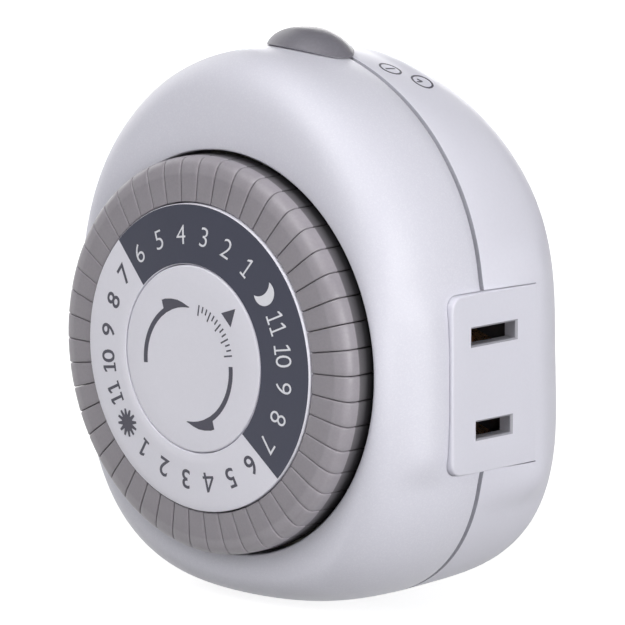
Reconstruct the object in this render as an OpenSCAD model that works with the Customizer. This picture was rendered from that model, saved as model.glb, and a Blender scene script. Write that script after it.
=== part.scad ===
// Plug-in 24-hour timer switch: a round-topped case with a dial of 48 push-in segments.
// Frame: +Z up, the dial faces -Y, the receptacle faces +X, the wall lies in the plane Y = 0,
// and the dial turns about the Y axis. Heights called h are measured from the wall to the front.

/* [Case] */
// Height of the dial's cap above the wall
dial_h = 39.8; // [39.5:0.1:42]
// How far the outline is lifted
case_lift = 1.4; // [1.2:0.1:1.6]
// How much taller than wide the outline is
case_tall = 2.6; // [2.4:0.1:2.8]
// How far the outline's shoulders narrow towards the bottom
case_egg = 1.3; // [1.1:0.1:1.5]
// How full the outline's corners are
case_square = 1.2; // [1:0.1:1.4]
// Wall of the shells
wall = 1.8; // [1.6:0.1:2]
// Floor of the rear shell
floor_t = 2.2; // [2:0.1:2.4]
// Inset of the rounded rear edge at the wall
rear_inset = 12; // [10:0.5:13]
// Shank radius of the case screws
screw_shank_r = 1.1; // [1:0.05:1.2]

/* [Dial] */
// Radius of the fixed centre cap
cap_r = 12.6; // [12:0.1:12.8]
// Outer radius of the number ring
ring_r = 20.85; // [20.6:0.05:20.9]
// Drop of the number ring's face from the cap to its edge
ring_drop = 0.97; // [0.8:0.01:1.1]
// Segments round the dial, two for each hour
tripper_count = 48; // [48]
// Gap between two segments
tripper_gap = 0.15; // [0.1:0.01:0.2]
// Travel of a segment when it is pushed in
tripper_travel = 2.2; // [2:0.1:2.3]
// Radius of the fixed post that carries the dial
post_r = 4; // [3.6:0.1:4.2]
// Play between a turning bore and its pin
running_fit = 0.05; // [0.03:0.01:0.08]

/* [Gears] */
// Module of the reduction gears
gear_module = 0.25; // [0.25]
// Module of the dial gear
dial_module = 0.4; // [0.4]
// Teeth of the dial gear
dial_teeth = 80; // [80]
// Teeth of the pinion that turns the dial
dial_pinion_teeth = 10; // [10]
// Radius of the gear arbors
arbor_r = 0.6; // [0.5:0.05:0.65]
// Thickness of the gear wheels
wheel_t = 0.8; // [0.7:0.05:0.85]
// Height from one stage of the gear stack to the next
stage_pitch = 1.9; // [1.9:0.02:1.96]

/* [Motor] */
// Outer radius of the motor
motor_r = 12.6; // [12.4:0.1:12.8]
// Depth of the motor
motor_t = 8; // [7.6:0.1:8.2]

/* [Outlet and plug] */
// Width of the outlet plate, along the depth of the case
outlet_w = 16.3; // [16:0.1:16.6]
// Height of the outlet plate
outlet_l = 24.2; // [24:0.1:24.6]
// Level of the middle of the outlet plate, from the dial axis
outlet_z = -1.86; // [-2:0.02:-1.7]
// Spacing of the two slots and of the two blades
blade_pitch = 12.7; // [12.7]
// Length of the wide slot's mouth
wide_slot = 8.57; // [8.4:0.01:8.7]
// Length of the narrow slot's mouth
narrow_slot = 6.72; // [6.6:0.01:6.9]
// Height of the slots
slot_w = 2.27; // [2.1:0.01:2.4]
// Length of the blades beyond the wall face
blade_l = 17.5; // [16:0.1:18.2]
// Thickness of the blades
blade_t = 1.5; // [1.5:0.02:1.6]
// Distance of the holes in the blades from the wall face
blade_hole_at = 11.9; // [11:0.1:12.5]
// Width of the neutral blade
wide_blade = 7.9; // [7.8:0.05:8]
// Width of the live blade
narrow_blade = 6.35; // [6.2:0.05:6.4]
// Level of the blades, from the dial axis
blade_z = -9; // [-9.4:0.1:-8.8]

/* [Slide switch] */
// Length of the slide button
button_l = 15.5; // [15:0.1:16]
// Width of the slide button
button_w = 10; // [9:0.1:10.4]
// How far the button stands above the case
button_rise = 1.95; // [1.6:0.05:2.2]
// Middle of the button, from the dial axis
button_x = 0.6; // [0.4:0.1:0.8]
// Travel of the button
slide_travel = 4; // [3.5:0.1:4.2]

/* [Contacts] */
// Thickness of the contact strips
strip_t = 0.6; // [0.5:0.05:0.65]
// Open gap between the switch contacts
contact_gap = 1.05; // [1.05:0.01:1.2]

/* [Hidden] */
hours = 24;
function two_digits(n) = str(n < 10 ? "0" : "", n);
function tripper_name(n) = str("tripper_", two_digits(n));
$fn = 64;
cut = 0.1;          // how far a cut runs past a face
seat = 0.02;        // play of a fixed pin in its hole

// ---- width: every radius grows from the number ring's ----
tripper_r = ring_r + 6.15;                       // outside of the segments
pocket_r = tripper_r + 0.45;                     // the pocket round the dial
case_r = pocket_r + 8.75;                        // mean radius of the case outline
screw_r = case_r - 6;                            // the case screws, from the dial axis
outlet_x = case_r - 3.2;                         // the outlet plate's face, from the dial axis

// ---- depth: every height hangs from the dial's ----
rim_h = dial_h - 6.3;                            // the pocket's rim
part_h = dial_h - 22;                            // the parting line
plate_h = dial_h - 15.8;                         // underside of the mechanism plate
outlet_h = plate_h - 8;                          // middle of the outlet plate
depth = plate_h / 24;                            // stretch of the motor and the gear stages below the plate

// ---- case outline and shells ----
outline_steps = 72;
front_steps = 13;
rim_flat = 0.3;     // flat lip round the pocket
rear_steps = 11;
flat_wave = 0.45;   // flattens the outline's base
corner_wave = 0.18; // tightens the outline's corners
rear_draft = 0.03;  // draft of the rear shell's sides
function case_outline(a) = case_r + case_lift * sin(a) - case_tall * cos(2 * a) - case_egg * sin(3 * a)
    - case_square * cos(4 * a) + flat_wave * sin(5 * a) - corner_wave * cos(6 * a);
// Roundness exponents of the two shells' sections: 2 is an ellipse, more is squarer
function front_power(a) = 2.78 + 0.45 * sin(a) - 0.88 * cos(2 * a);
function rear_power(a) = 5.7 - 1.4 * sin(a) + 2.2 * cos(2 * a);
function at(r, a, h) = [r * cos(a), -h, r * sin(a)];
// A ring of points on the front shell, from its rim (t = 0) to the parting line (t = 90)
function front_ring(t, inset, rim) = [for (i = [0 : outline_steps - 1]) let (a = 360 * i / outline_steps,
    p = front_power(a), v = pow(sin(t), 2 / p), u = pow(cos(t), 2 / p))
    at(rim + (case_outline(a) - inset - rim) * v, a, part_h + (rim_h - inset - part_h) * u)];
// A ring of points on the rear shell, from the parting line (t = 0) to its floor (t = 90)
function rear_ring(t, inset, floor_h) = [for (i = [0 : outline_steps - 1]) let (a = 360 * i / outline_steps,
    q = rear_power(a), v = pow(sin(t), 2 / q), u = pow(cos(t), 2 / q))
    at(case_outline(a) - inset - rear_inset * (1 - u) - rear_draft * part_h * v, a,
       part_h - (part_h - floor_h) * v)];
function flat_ring(r, h) = [for (i = [0 : outline_steps - 1]) at(r, 360 * i / outline_steps, h)];
// A closed skin through rings of points: joined end to start, or closed with two flat ends
module skin(rings, loop = false) {
    n = len(rings[0]);
    m = len(rings);
    points = [for (ring = rings) for (p = ring) p];
    bands = loop ? m : m - 1;
    sides = [for (j = [0 : bands - 1]) for (i = [0 : n - 1]) let (k = (j + 1) % m, l = (i + 1) % n)
        each [[j * n + i, k * n + l, j * n + l], [j * n + i, k * n + i, k * n + l]]];
    ends = loop ? [] : [[for (i = [0 : n - 1]) i], [for (i = [n - 1 : -1 : 0]) (m - 1) * n + i]];
    polyhedron(points = points, faces = concat(sides, ends), convexity = 8);
}
// Puts a shape that is drawn flat, with its height along its Z, on the dial plane at a height h
module facing(h, x = 0, z = 0) translate([x, -h, z]) rotate([90, 0, 0]) children();
module disc(r, h0, h1, x = 0, z = 0) facing(h0, x, z) cylinder(r = r, h = h1 - h0);
// A round bar along X, with its axis at a height h and a level z
module bar(r, x0, x1, h, z) translate([x0, -h, z]) rotate([0, 90, 0]) cylinder(r = r, h = x1 - x0);
module tube(r_out, r_in, h0, h1, x = 0, z = 0) difference() {
    disc(r_out, h0, h1, x, z);
    disc(r_in, h0 - cut, h1 + cut, x, z);
}
// A box between two corners, given as x, z and h
module block(x, z, h) translate([x[0], -h[1], z[0]]) cube([x[1] - x[0], h[1] - h[0], z[1] - z[0]]);

// ---- dial stack, from the plate up ----
plate_t = 1.6;
plate_top = plate_h + plate_t;
plate_r = pocket_r + 2.05;
collar_r = pocket_r + 1.75;
gear_h = plate_top + 0.8;                        // underside of the dial gear
carrier_h = gear_h + 1.8;                        // underside of the carrier's floor
carrier_top = carrier_h + 1.6;
ring_h = dial_h - 2.9;                           // underside of the number ring
cap_gap = 0.2;                                   // between the cap and the number ring
tripper_clear = 0.2;                             // between the number ring and the segments
face_slope = ring_drop / (ring_r - cap_r - cap_gap);
carrier_r = tripper_r - 0.6;
hub_r = 6;
rib_t = 1.2;                                     // the two round ribs that carry the number ring
tripper_in = ring_r + tripper_clear;
bevel_in = tripper_r - 0.6;
tripper_top = dial_h - ring_drop - 0.33;         // top of a segment at its inner edge
bevel_h = tripper_top - face_slope * (bevel_in - tripper_in);
bevel_low = bevel_h - 2.5;
tripper_base = carrier_top + tripper_travel + 0.4;
leg_r = tripper_in + 2.45;
leg_w = 1.4;
leg_base = carrier_h - 0.2;
tripper_pitch = 360 / tripper_count;
tripper_gap_angle = tripper_gap / (tripper_in / 2 + tripper_r / 2) * 180 / PI;
// The night half of the ring starts this far to the left of the top, seen from the front
night_start = 90 + 46.2;

// ---- gears ----
// Arbor B carries the rotor, gears 2 and 4, the clutch and the pinion that turns the dial
arbor_b_angle = 95;
arbor_b = dial_module * (dial_teeth + dial_pinion_teeth) / 2 * [cos(arbor_b_angle), sin(arbor_b_angle)];
stack_teeth = 84;                                // teeth of each meshing pair together
stack_reach = gear_module * stack_teeth / 2;
arbor_a_angle = 210;
arbor_a = arbor_b + stack_reach * [cos(arbor_a_angle), sin(arbor_a_angle)];
wheel_five = 70;                                 // wheel and pinion of a 5 to 1 stage
pinion_five = 14;
wheel_six = 72;                                  // wheel and pinion of a 6 to 1 stage
pinion_six = 12;
pressure_angle = 25;
motor_h = floor_t;
motor_top = motor_h + motor_t * depth;
stage_h = motor_top + 1.2 * depth;               // underside of the first wheel
stage_gap = 0.1;
function level(k) = stage_h + (k - 1) * stage_pitch * depth;
washer_h = level(6) + wheel_t;
washer_t = 0.4;
flange_t = 0.6;
function inv(a) = tan(a) * 180 / PI - a;
// Half the angle that a tooth takes at radius r
function tooth_half(r, teeth, m, backlash) = let (rp = m * teeth / 2, rb = rp * cos(pressure_angle))
    90 / teeth - backlash / (4 * rp) * 180 / PI + inv(pressure_angle) - inv(acos(min(1, rb / max(r, rb))));
module gear_outline(teeth, m, phase) {
    rp = m * teeth / 2;
    backlash = 0.3 * m;
    radii = [rp - 1.05 * m, rp - 0.4 * m, rp + 0.2 * m, rp + 0.8 * m];
    polygon([for (i = [0 : teeth - 1]) let (a = phase + 360 * i / teeth)
        each concat(
            [for (r = radii) let (b = a - tooth_half(r, teeth, m, backlash)) r * [cos(b), sin(b)]],
            [for (k = [len(radii) - 1 : -1 : 0]) let (r = radii[k], b = a + tooth_half(r, teeth, m, backlash))
                r * [cos(b), sin(b)]])]);
}
// A toothed wheel between two heights, with one tooth centred on the angle phase
module toothed(teeth, m, phase, h0, h1, x, z)
    facing(h0, x, z) linear_extrude(height = h1 - h0) gear_outline(teeth, m, phase);
// Phase of a wheel that meets a pinion lying at an angle from it, where that pinion has a tooth
function meeting_phase(towards, teeth) = towards + 180 / teeth;
// Gear k of the stack: odd gears turn on arbor A, even ones on arbor B
module stack_gear(k, wheel_teeth, pinion_teeth, hub_low, top) {
    odd = k % 2 == 1;
    pos = odd ? arbor_a : arbor_b;
    back = odd ? arbor_a_angle + 180 : arbor_a_angle;
    difference() {
        union() {
            toothed(wheel_teeth, gear_module, meeting_phase(back, wheel_teeth), level(k), level(k) + wheel_t,
                pos[0], pos[1]);
            disc(1.1, hub_low, level(k), pos[0], pos[1]);
            toothed(pinion_teeth, gear_module, back, level(k) + wheel_t, pinion_end(k), pos[0], pos[1]);
            if (top > pinion_end(k)) disc(1, pinion_end(k), top, pos[0], pos[1]);
        }
        disc(arbor_r + running_fit, hub_low - cut, max(top, pinion_end(k)) + cut, pos[0], pos[1]);
    }
}
function pinion_end(k) = level(k + 1) + wheel_t + stage_gap * 2;
function hub_low(k) = k == 1 ? motor_top + stage_gap : level(k - 1) + wheel_t + stage_gap * 3;

// ---- switch ----
nose = leg_r * [sin(51.3), cos(51.3)];           // under the segments' feet, at the cap's pointer
pivot_z = -8;
pivot_h = plate_h - 2.4;
pivot_r = 0.8;
hinge_r = 1.8;                                   // hub of the lever
ear_gap = 0.4;                                   // between the lever and the ears that hold its pin
ear_t = 2;
lever_t = 2;
lever_h = pivot_h - lever_t / 2;
lever_x = [8, 11];
arm_x = [lever_x[0], lever_x[1] - 1.3];           // the arm beside the return spring
tail_x = [9.5, 12.5];
tail_z = 30.2;
leaf_x = [6.5, 10.5];
leaf_h = motor_top + 3.4;
leaf_t = 0.35;
leaf_z = [blade_z - 3, 9];
contact_z = 7;
contact_r = 1.3;
push_z = 4;
bus_h = 4.9;                                     // level of the neutral bus strip
bus_z = [blade_z - 7.5, blade_z - 4.5];
clip_x = outlet_x - 18.8;                        // back of the receptacle's spring clips
clip_in = 12;                                    // reach of the clips' leaves from there to the pinch
slot_z = [outlet_z + blade_pitch / 2, outlet_z - blade_pitch / 2];
riser_x = [clip_x - strip_t, clip_x];
plate_corner = 1.8;
label_w = 30;                                    // recess of the label on the back
label_l = 16;
label_z = 11;
label_deep = 0.3;
label_t = 0.2;
pad_h = leaf_h - 0.7 - contact_gap;              // top of the fixed contact
strip_h = pad_h - 0.4 - strip_t;                 // underside of the strip that carries it

// ---- slide switch ----
button_half = button_l / 2;
case_top = case_outline(90);
stem_x = [button_x - 2.5, button_x + 2.5];
stem_half = 1.3;
// The button slides on the round top of the case, along an arc about the axis at track_z
track_r = 27;
track_z = case_top - track_r;
button_gap = 0.12;                               // between the button and the case
button_low = 8;                                  // how far the button's body is drawn down before it is cut
slot_play = 0.3;
carriage_r = [track_r - wall - 3.2, track_r - wall - 1.8];
carriage_half = 15;                              // half the angle that the carriage takes
carriage_top = track_z + carriage_r[1] + 0.2;
detent_z = track_z + carriage_r[0] - 1.75;       // level of the detent's ends
detent_t = 0.3;
detent_rise = 1.35;
finger_z = [tail_z - 1.8, tail_z];
finger_h = lever_h + lever_t + 0.3;
finger_t = 0.9;

// ---- case screws ----
post_radius = 2.8;
screw_angles = [55, 125, -57, -123];
screw_head_h = 0.8;
screw_head_t = 1.6;
screw_top = plate_top + 3.6;
module at_screws() for (a = screw_angles) translate([screw_r * cos(a), 0, screw_r * sin(a)]) children();
motor_ear_x = motor_r + 2.8;
motor_ear_h = motor_h + 4;
module at_motor_ears() for (s = [-1, 1]) translate([arbor_b[0] + s * motor_ear_x, 0, arbor_b[1]]) children();

module tripper_pair(n) color("#8f8c90") for (half = [0, 1]) {
    a = night_start - (2 * n + half + 1) * tripper_pitch;
    rotate([0, -a - tripper_gap_angle / 2, 0]) facing(0)
        rotate_extrude(angle = tripper_pitch - tripper_gap_angle, $fn = 180)
            polygon([[tripper_in, tripper_base], [tripper_r, tripper_base], [tripper_r, bevel_low],
                [bevel_in, bevel_h], [tripper_in, tripper_top]]);
    rotate([0, -a - tripper_pitch / 2, 0])
        block([leg_r - leg_w / 2, leg_r + leg_w / 2], [-leg_w / 2, leg_w / 2], [leg_base, tripper_base + 1]);
}

module front_housing() color("#e4e2ee") difference() {
    union() {
        skin([flat_ring(pocket_r - 3, rim_h - wall),
              for (i = [1 : 2 : front_steps]) front_ring(90 * i / front_steps, wall, collar_r - 1),
              for (i = [front_steps : -1 : 0]) front_ring(90 * i / front_steps, 0, pocket_r + rim_flat),
              flat_ring(pocket_r - 3, rim_h)], loop = true);
        tube(collar_r, pocket_r - 1, plate_top, rim_h - wall + 0.2);
        at_screws() disc(post_radius, plate_top, screw_top + 0.6);
    }
    disc(pocket_r, 0, dial_h);
    at_screws() disc(screw_shank_r + seat, plate_top - cut, screw_top + 0.1);
    outlet_window();
    slide_slot();
}

module outlet_window() translate([collar_r + 0.1, -outlet_h, outlet_z]) rotate([90, 0, 90])
    linear_extrude(height = 8) rounded_rectangle(outlet_w + 0.2, outlet_l + 0.2, plate_corner + 0.1);

module slide_slot() block([stem_x[0] - slide_travel - slot_play, stem_x[1] + slot_play],
    [case_top - 6, case_top + 3], [part_h - stem_half - slot_play, part_h + stem_half + slot_play]);

module rear_housing() color("#e9e8ee") difference() {
    union() {
        skin([for (i = [rear_steps : -1 : 0]) rear_ring(90 * i / rear_steps, 0, 0),
              for (i = [0 : 2 : rear_steps - 1]) rear_ring(90 * i / rear_steps, wall, floor_t),
              rear_ring(90, wall, floor_t)]);
        at_screws() disc(post_radius, floor_t / 2, plate_h);
        at_motor_ears() disc(2, floor_t / 2, motor_ear_h);
        block([10, 11.8], [-6, -2], [floor_t / 2, strip_h]);
        for (x = [button_x - 7, button_x + 7])
            block([x - 0.8, x + 0.8], [detent_z - 1.7, detent_z], [floor_t + 0.8, part_h - 0.1]);
    }
    at_screws() {
        disc(screw_shank_r + 0.2, -cut, plate_h + cut);
        disc(2.3, -cut, screw_head_h + screw_head_t);
    }
    at_motor_ears() disc(0.8 + seat, floor_t, motor_ear_h + cut);
    blade_slot(-1, wide_blade);
    blade_slot(1, narrow_blade);
    block(label_w / 2 * [-1, 1], label_z * [1, 1] + label_l / 2 * [-1, 1], [-cut, label_deep]);
    outlet_window();
    slide_slot();
}

blade_hole_r = 1.6;
blade_play = 0.15;
module blade_slot(side, width)
    block(side * blade_pitch / 2 * [1, 1] + (blade_t / 2 + blade_play) * [-1, 1],
        blade_z * [1, 1] + (width / 2 + blade_play) * [-1, 1], [-cut, floor_t + 1]);

module outlet_plate() color("#ecebf0") difference() {
    union() {
        translate([outlet_x - 2, -outlet_h, outlet_z]) rotate([90, 0, 90]) linear_extrude(height = 2)
            rounded_rectangle(outlet_w, outlet_l, plate_corner);
        block([outlet_x - 12, outlet_x - 2], outlet_z * [1, 1] + (outlet_l / 2 - 1.5) * [-1, 1],
            outlet_h * [1, 1] + (outlet_w / 2 - 1.65) * [-1, 1]);
    }
    for (k = [0, 1]) {
        block([outlet_x - 13, outlet_x - 3.5], [slot_z[k] - 2.4, slot_z[k] + 2.4],
            outlet_h * [1, 1] + (outlet_w / 2 - 3.55) * [-1, 1]);
        block([outlet_x - 5, outlet_x + cut], slot_z[k] * [1, 1] + slot_w / 2 * [-1, 1],
            outlet_h * [1, 1] + (k == 0 ? wide_slot : narrow_slot) / 2 * [-1, 1]);
    }
}

module rounded_rectangle(w, l, r) {
    square([w, l - 2 * r], center = true);
    square([w - 2 * r, l], center = true);
    for (x = [-1, 1]) for (y = [-1, 1]) translate([x * (w / 2 - r), y * (l / 2 - r)]) circle(r);
}

// Radius of the arc that falls by drop over a half width
function arc_r(half, drop) = (half * half + drop * drop) / (2 * drop);
// The button's top is curved both ways, so that it runs out into the case all round
module slide_button() color("#77767d") {
    rise = button_rise - button_gap;
    long_r = arc_r(button_half, rise + track_r - sqrt(track_r * track_r - button_half * button_half));
    short_r = arc_r(button_w / 2, rise);
    difference() {
        facing(part_h, button_x, case_top + button_rise - long_r) rotate_extrude($fn = 128) difference() {
            translate([long_r - short_r, 0]) circle(short_r, $fn = 128);
            translate([-2 * short_r, -short_r]) square([2 * short_r + long_r - button_low, 2 * short_r]);
        }
        disc(track_r + button_gap, part_h - button_w, part_h + button_w, 0, track_z);
    }
    block(stem_x, [carriage_top, case_top + 0.6], [part_h - stem_half, part_h + stem_half]);
}

module slide_carriage() color("#d9d7d0") {
    facing(part_h - 3, 0, track_z) rotate([0, 0, 90 - carriage_half - button_x / track_r * 180 / PI])
        rotate_extrude(angle = 2 * carriage_half, $fn = 128)
            translate([carriage_r[0], 0]) square([carriage_r[1] - carriage_r[0], 6]);
    block(stem_x, [carriage_top - 1.2, carriage_top], [part_h - stem_half, part_h + stem_half]);
    block([button_x - 1, button_x + 2], [finger_z[0], track_z + carriage_r[0] + 0.5],
        [part_h + 3 - cut, finger_h + finger_t]);
    block([button_x - 1, tail_x[1] + 0.5], finger_z, [finger_h, finger_h + finger_t]);
}

module slide_detent() color("#b9bcc2") facing(part_h - 4) linear_extrude(height = 2) {
    bends = [[-7.8, 0], [-2, 0], [0, detent_rise], [2, 0], [7.8, 0]];
    translate([button_x, detent_z]) polygon(concat(bends,
        [for (i = [len(bends) - 1 : -1 : 0]) bends[i] + [0, detent_t]]));
}

module dial_ring() color("#565a66") facing(0) rotate_extrude($fn = 128)
    polygon([[cap_r + cap_gap, ring_h], [ring_r, ring_h], [ring_r, dial_h - ring_drop],
        [cap_r + cap_gap, dial_h]]);

module centre_cap() color("#ecebf2") union() {
    disc(cap_r, ring_h + 1.3, dial_h);
    disc(post_r - 2 - seat, ring_h - 5, ring_h + 1.4);
}

module dial_carrier() color("#f0efe9") difference() {
    union() {
        facing(0) rotate_extrude($fn = 128) union() {
            translate([post_r + running_fit, gear_h])
                square([hub_r - post_r - running_fit, ring_h - 1.2 - gear_h]);
            translate([hub_r - cut, carrier_h]) square([carrier_r - hub_r + cut, carrier_top - carrier_h]);
            for (r = [ring_r - 0.15 - rib_t, cap_r + 0.6])
                translate([r, carrier_top - cut]) square([rib_t, ring_h - carrier_top + cut]);
        }
        difference() {
            toothed(dial_teeth, dial_module, meeting_phase(atan2(arbor_b[1], arbor_b[0]), dial_teeth),
                gear_h, carrier_h, 0, 0);
            disc(hub_r - 0.5, gear_h - cut, carrier_h + cut);
        }
    }
    for (i = [0 : tripper_count - 1]) rotate([0, -night_start + (i + 0.5) * tripper_pitch, 0])
        block([leg_r - leg_w / 2 - 0.2, leg_r + leg_w / 2 + 0.2], [-leg_w / 2 - 0.15, leg_w / 2 + 0.15],
            [carrier_h - cut, carrier_top + cut]);
}

module mechanism_plate() color("#d6d4cc") difference() {
    union() {
        disc(plate_r, plate_h, plate_top);
        at_screws() disc(post_radius, plate_h, plate_top);
        disc(post_r, plate_top - cut, ring_h - 0.4);
        disc(post_r + 1.6, plate_top - cut, gear_h - 0.2);
        for (x = [lever_x[0] - ear_gap - ear_t, lever_x[1] + ear_gap])
            block([x, x + ear_t], [pivot_z - 2, pivot_z + 2], [pivot_h - hinge_r, plate_h + cut]);
    }
    disc(post_r - 2, ring_h - 5.5, ring_h + 1);
    disc(2.6, plate_h - cut, plate_top + 1, arbor_b[0], arbor_b[1]);
    disc(arbor_r + seat, plate_h - cut, plate_h + 0.9, arbor_a[0], arbor_a[1]);
    block([nose[0] - 1.3, nose[0] + 1.3], [nose[1] - 1.7, nose[1] + 1.5], [plate_h - cut, plate_top + cut]);
    at_screws() disc(screw_shank_r + 0.2, plate_h - cut, plate_top + cut);
    bar(pivot_r + seat, lever_x[0] - ear_t - 1, lever_x[1] + ear_t + 1, pivot_h, pivot_z);
}

module motor_can() color("#b7bac0") difference() {
    union() {
        facing(0, arbor_b[0], arbor_b[1]) rotate_extrude($fn = 128) polygon([[0, motor_h],
            [motor_r - 4.4, motor_h], [motor_r, motor_h + 1.1], [motor_r, motor_top], [0, motor_top]]);
        at_motor_ears() disc(2.4, motor_ear_h, motor_ear_h + 0.8);
        block([arbor_b[0] - motor_ear_x, arbor_b[0] + motor_ear_x], [arbor_b[1] - 2.4, arbor_b[1] + 2.4],
            [motor_ear_h, motor_ear_h + 0.8]);
    }
    disc(motor_r - 0.8, motor_h + 1.9, motor_top - 0.8, arbor_b[0], arbor_b[1]);
    disc(6.2, motor_h + 0.8, motor_top + cut, arbor_b[0], arbor_b[1]);
    disc(arbor_r + seat, motor_h + cut, motor_top, arbor_b[0], arbor_b[1]);
    disc(arbor_r + seat, motor_top - 1, motor_top + cut, arbor_a[0], arbor_a[1]);
    at_motor_ears() disc(1, motor_ear_h - cut, motor_ear_h + 1);
}

module motor_coil() color("#b5652e")
    tube(motor_r - 0.9, 7.2, motor_h + 2, motor_top - 0.9, arbor_b[0], arbor_b[1]);

module motor_rotor() color("#4a4b50") difference() {
    union() {
        disc(5.8, motor_h + 1, motor_top - 0.9, arbor_b[0], arbor_b[1]);
        disc(1.4, motor_top - 1, stage_h - 0.5, arbor_b[0], arbor_b[1]);
        toothed(pinion_five, gear_module, arbor_a_angle, stage_h - 0.6, level(1) + wheel_t + stage_gap * 2,
            arbor_b[0], arbor_b[1]);
    }
    disc(arbor_r + running_fit, motor_h, level(2), arbor_b[0], arbor_b[1]);
}

module gear_1() color("#f2efe4") stack_gear(1, wheel_five, pinion_six, hub_low(1), 0);
module gear_2() color("#f2efe4") stack_gear(2, wheel_six, pinion_five, hub_low(2), 0);
module gear_3() color("#f2efe4") stack_gear(3, wheel_five, pinion_six, hub_low(3), 0);
module gear_4() color("#f2efe4") stack_gear(4, wheel_six, pinion_five, hub_low(4), 0);
module gear_5() color("#f2efe4") stack_gear(5, wheel_five, pinion_six, hub_low(5), plate_h - stage_gap);

module clutch_gear() color("#e8d9a8") difference() {
    union() {
        toothed(wheel_six, gear_module, meeting_phase(arbor_a_angle, wheel_six), level(6), washer_h,
            arbor_b[0], arbor_b[1]);
        disc(1.1, hub_low(6), level(6), arbor_b[0], arbor_b[1]);
    }
    disc(arbor_r + running_fit, hub_low(6) - cut, washer_h + cut, arbor_b[0], arbor_b[1]);
}

module clutch_washer() color("#c9a34a")
    tube(3.4, arbor_r + 0.2, washer_h, washer_h + washer_t, arbor_b[0], arbor_b[1]);

module dial_pinion() color("#f2efe4") difference() {
    union() {
        disc(4, washer_h + washer_t, washer_h + washer_t + flange_t, arbor_b[0], arbor_b[1]);
        toothed(dial_pinion_teeth, dial_module, atan2(-arbor_b[1], -arbor_b[0]),
            washer_h + washer_t + flange_t, carrier_h - 0.2, arbor_b[0], arbor_b[1]);
    }
    disc(arbor_r + running_fit, washer_h, carrier_h, arbor_b[0], arbor_b[1]);
}

module gear_arbors() color("#c8ccd2") {
    disc(arbor_r, motor_h + 0.2, carrier_h - 0.3, arbor_b[0], arbor_b[1]);
    disc(arbor_r, motor_top - 0.8, plate_h + 0.8, arbor_a[0], arbor_a[1]);
}

module switch_lever() color("#e9e4d2") difference() {
    union() {
        bar(hinge_r, lever_x[0], lever_x[1], pivot_h, pivot_z);
        block(arm_x, [pivot_z, pivot_z + 4], [lever_h, lever_h + lever_t]);
        block(lever_x, [pivot_z + 3, nose[1] + 1.8], [lever_h, lever_h + lever_t]);
        block([lever_x[0], nose[0] + 1.2], [nose[1] - 1.8, nose[1] + 1.8], [lever_h, lever_h + lever_t]);
        block(tail_x, [nose[1], tail_z], [lever_h, lever_h + lever_t]);
        block([nose[0] - 0.8, nose[0] + 0.8], [nose[1] - 0.8, nose[1] + 0.8], [lever_h, plate_top]);
        block([lever_x[0], leaf_x[1] - 1], [push_z - 1, push_z + 1], [leaf_h + leaf_t + 0.3, lever_h + cut]);
    }
    bar(pivot_r + running_fit, lever_x[0] - 1, lever_x[1] + 1, pivot_h, pivot_z);
}

module lever_pin() color("#c8ccd2")
    bar(pivot_r, lever_x[0] - ear_gap - ear_t, lever_x[1] + ear_gap + ear_t, pivot_h, pivot_z);

// The return spring: close turns round the lever's hub, with one arm under the plate
module lever_spring() color("#9ea3aa") {
    wire = 0.36;
    turns_x = lever_x[1] - 3 * wire - 0.1;
    inner = hinge_r + seat;
    difference() {
        bar(inner + wire, turns_x, turns_x + 3 * wire, pivot_h, pivot_z);
        bar(inner, turns_x - cut, turns_x + 3 * wire + cut, pivot_h, pivot_z);
    }
    block([turns_x, turns_x + wire], [pivot_z - 4.5, pivot_z], [pivot_h + inner, pivot_h + inner + wire]);
    block([turns_x + 2 * wire, turns_x + 3 * wire], [pivot_z, pivot_z + 5],
        [pivot_h - inner - wire, pivot_h - inner]);
}

module contact_leaf() color("#c98a4b") union() {
    block(leaf_x, leaf_z, [leaf_h, leaf_h + leaf_t]);
    disc(contact_r, leaf_h - 0.7, leaf_h + cut, leaf_x[0] + 2, contact_z);
    disc(0.8, leaf_h, leaf_h + leaf_t + 0.25, leaf_x[0] + 2, contact_z);
}

module fixed_contact() color("#c98a4b") union() {
    z_low = slot_z[1] - 2;
    block([leaf_x[0], riser_x[0] - 0.4], [contact_z - 2, contact_z + 3.5], [strip_h, strip_h + strip_t]);
    block([riser_x[0] - 2.8, riser_x[0] - 0.4], [z_low, contact_z + 3.5], [strip_h, strip_h + strip_t]);
    block([riser_x[0] - 0.6, riser_x[1]], [z_low, slot_z[1] + 2], [strip_h, strip_h + strip_t]);
    block(riser_x, [z_low, slot_z[1] + 2], [strip_h, outlet_h]);
    disc(contact_r, pad_h - 0.5, pad_h, leaf_x[0] + 2, contact_z);
}

module blade(side, width, top) difference() {
    block(side * blade_pitch / 2 * [1, 1] + blade_t / 2 * [-1, 1], blade_z * [1, 1] + width / 2 * [-1, 1],
        [-blade_l, top]);
    bar(blade_hole_r, side * blade_pitch / 2 - blade_t, side * blade_pitch / 2 + blade_t, -blade_hole_at,
        blade_z);
}

module blade_neutral() color("#d5b46a") union() {
    left = -blade_pitch / 2 - blade_t / 2;
    blade(-1, wide_blade, bus_h + strip_t);
    block([left, left + blade_t], [bus_z[0], blade_z], [floor_t + 0.2, bus_h + strip_t]);
    block([left, clip_x], bus_z, [bus_h, bus_h + strip_t]);
    block([clip_x - 2.4, clip_x], [bus_z[0], slot_z[0] + 2], [bus_h, bus_h + strip_t]);
    block(riser_x, [slot_z[0] - 2, slot_z[0] + 2], [bus_h, outlet_h]);
}

module blade_live() color("#d5b46a") union() {
    blade(1, narrow_blade, leaf_h - strip_t + cut);
    block([blade_pitch / 2 - blade_t / 2, leaf_x[1]], [blade_z - narrow_blade / 2, blade_z],
        [leaf_h - strip_t, leaf_h - 0.05]);
}

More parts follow.
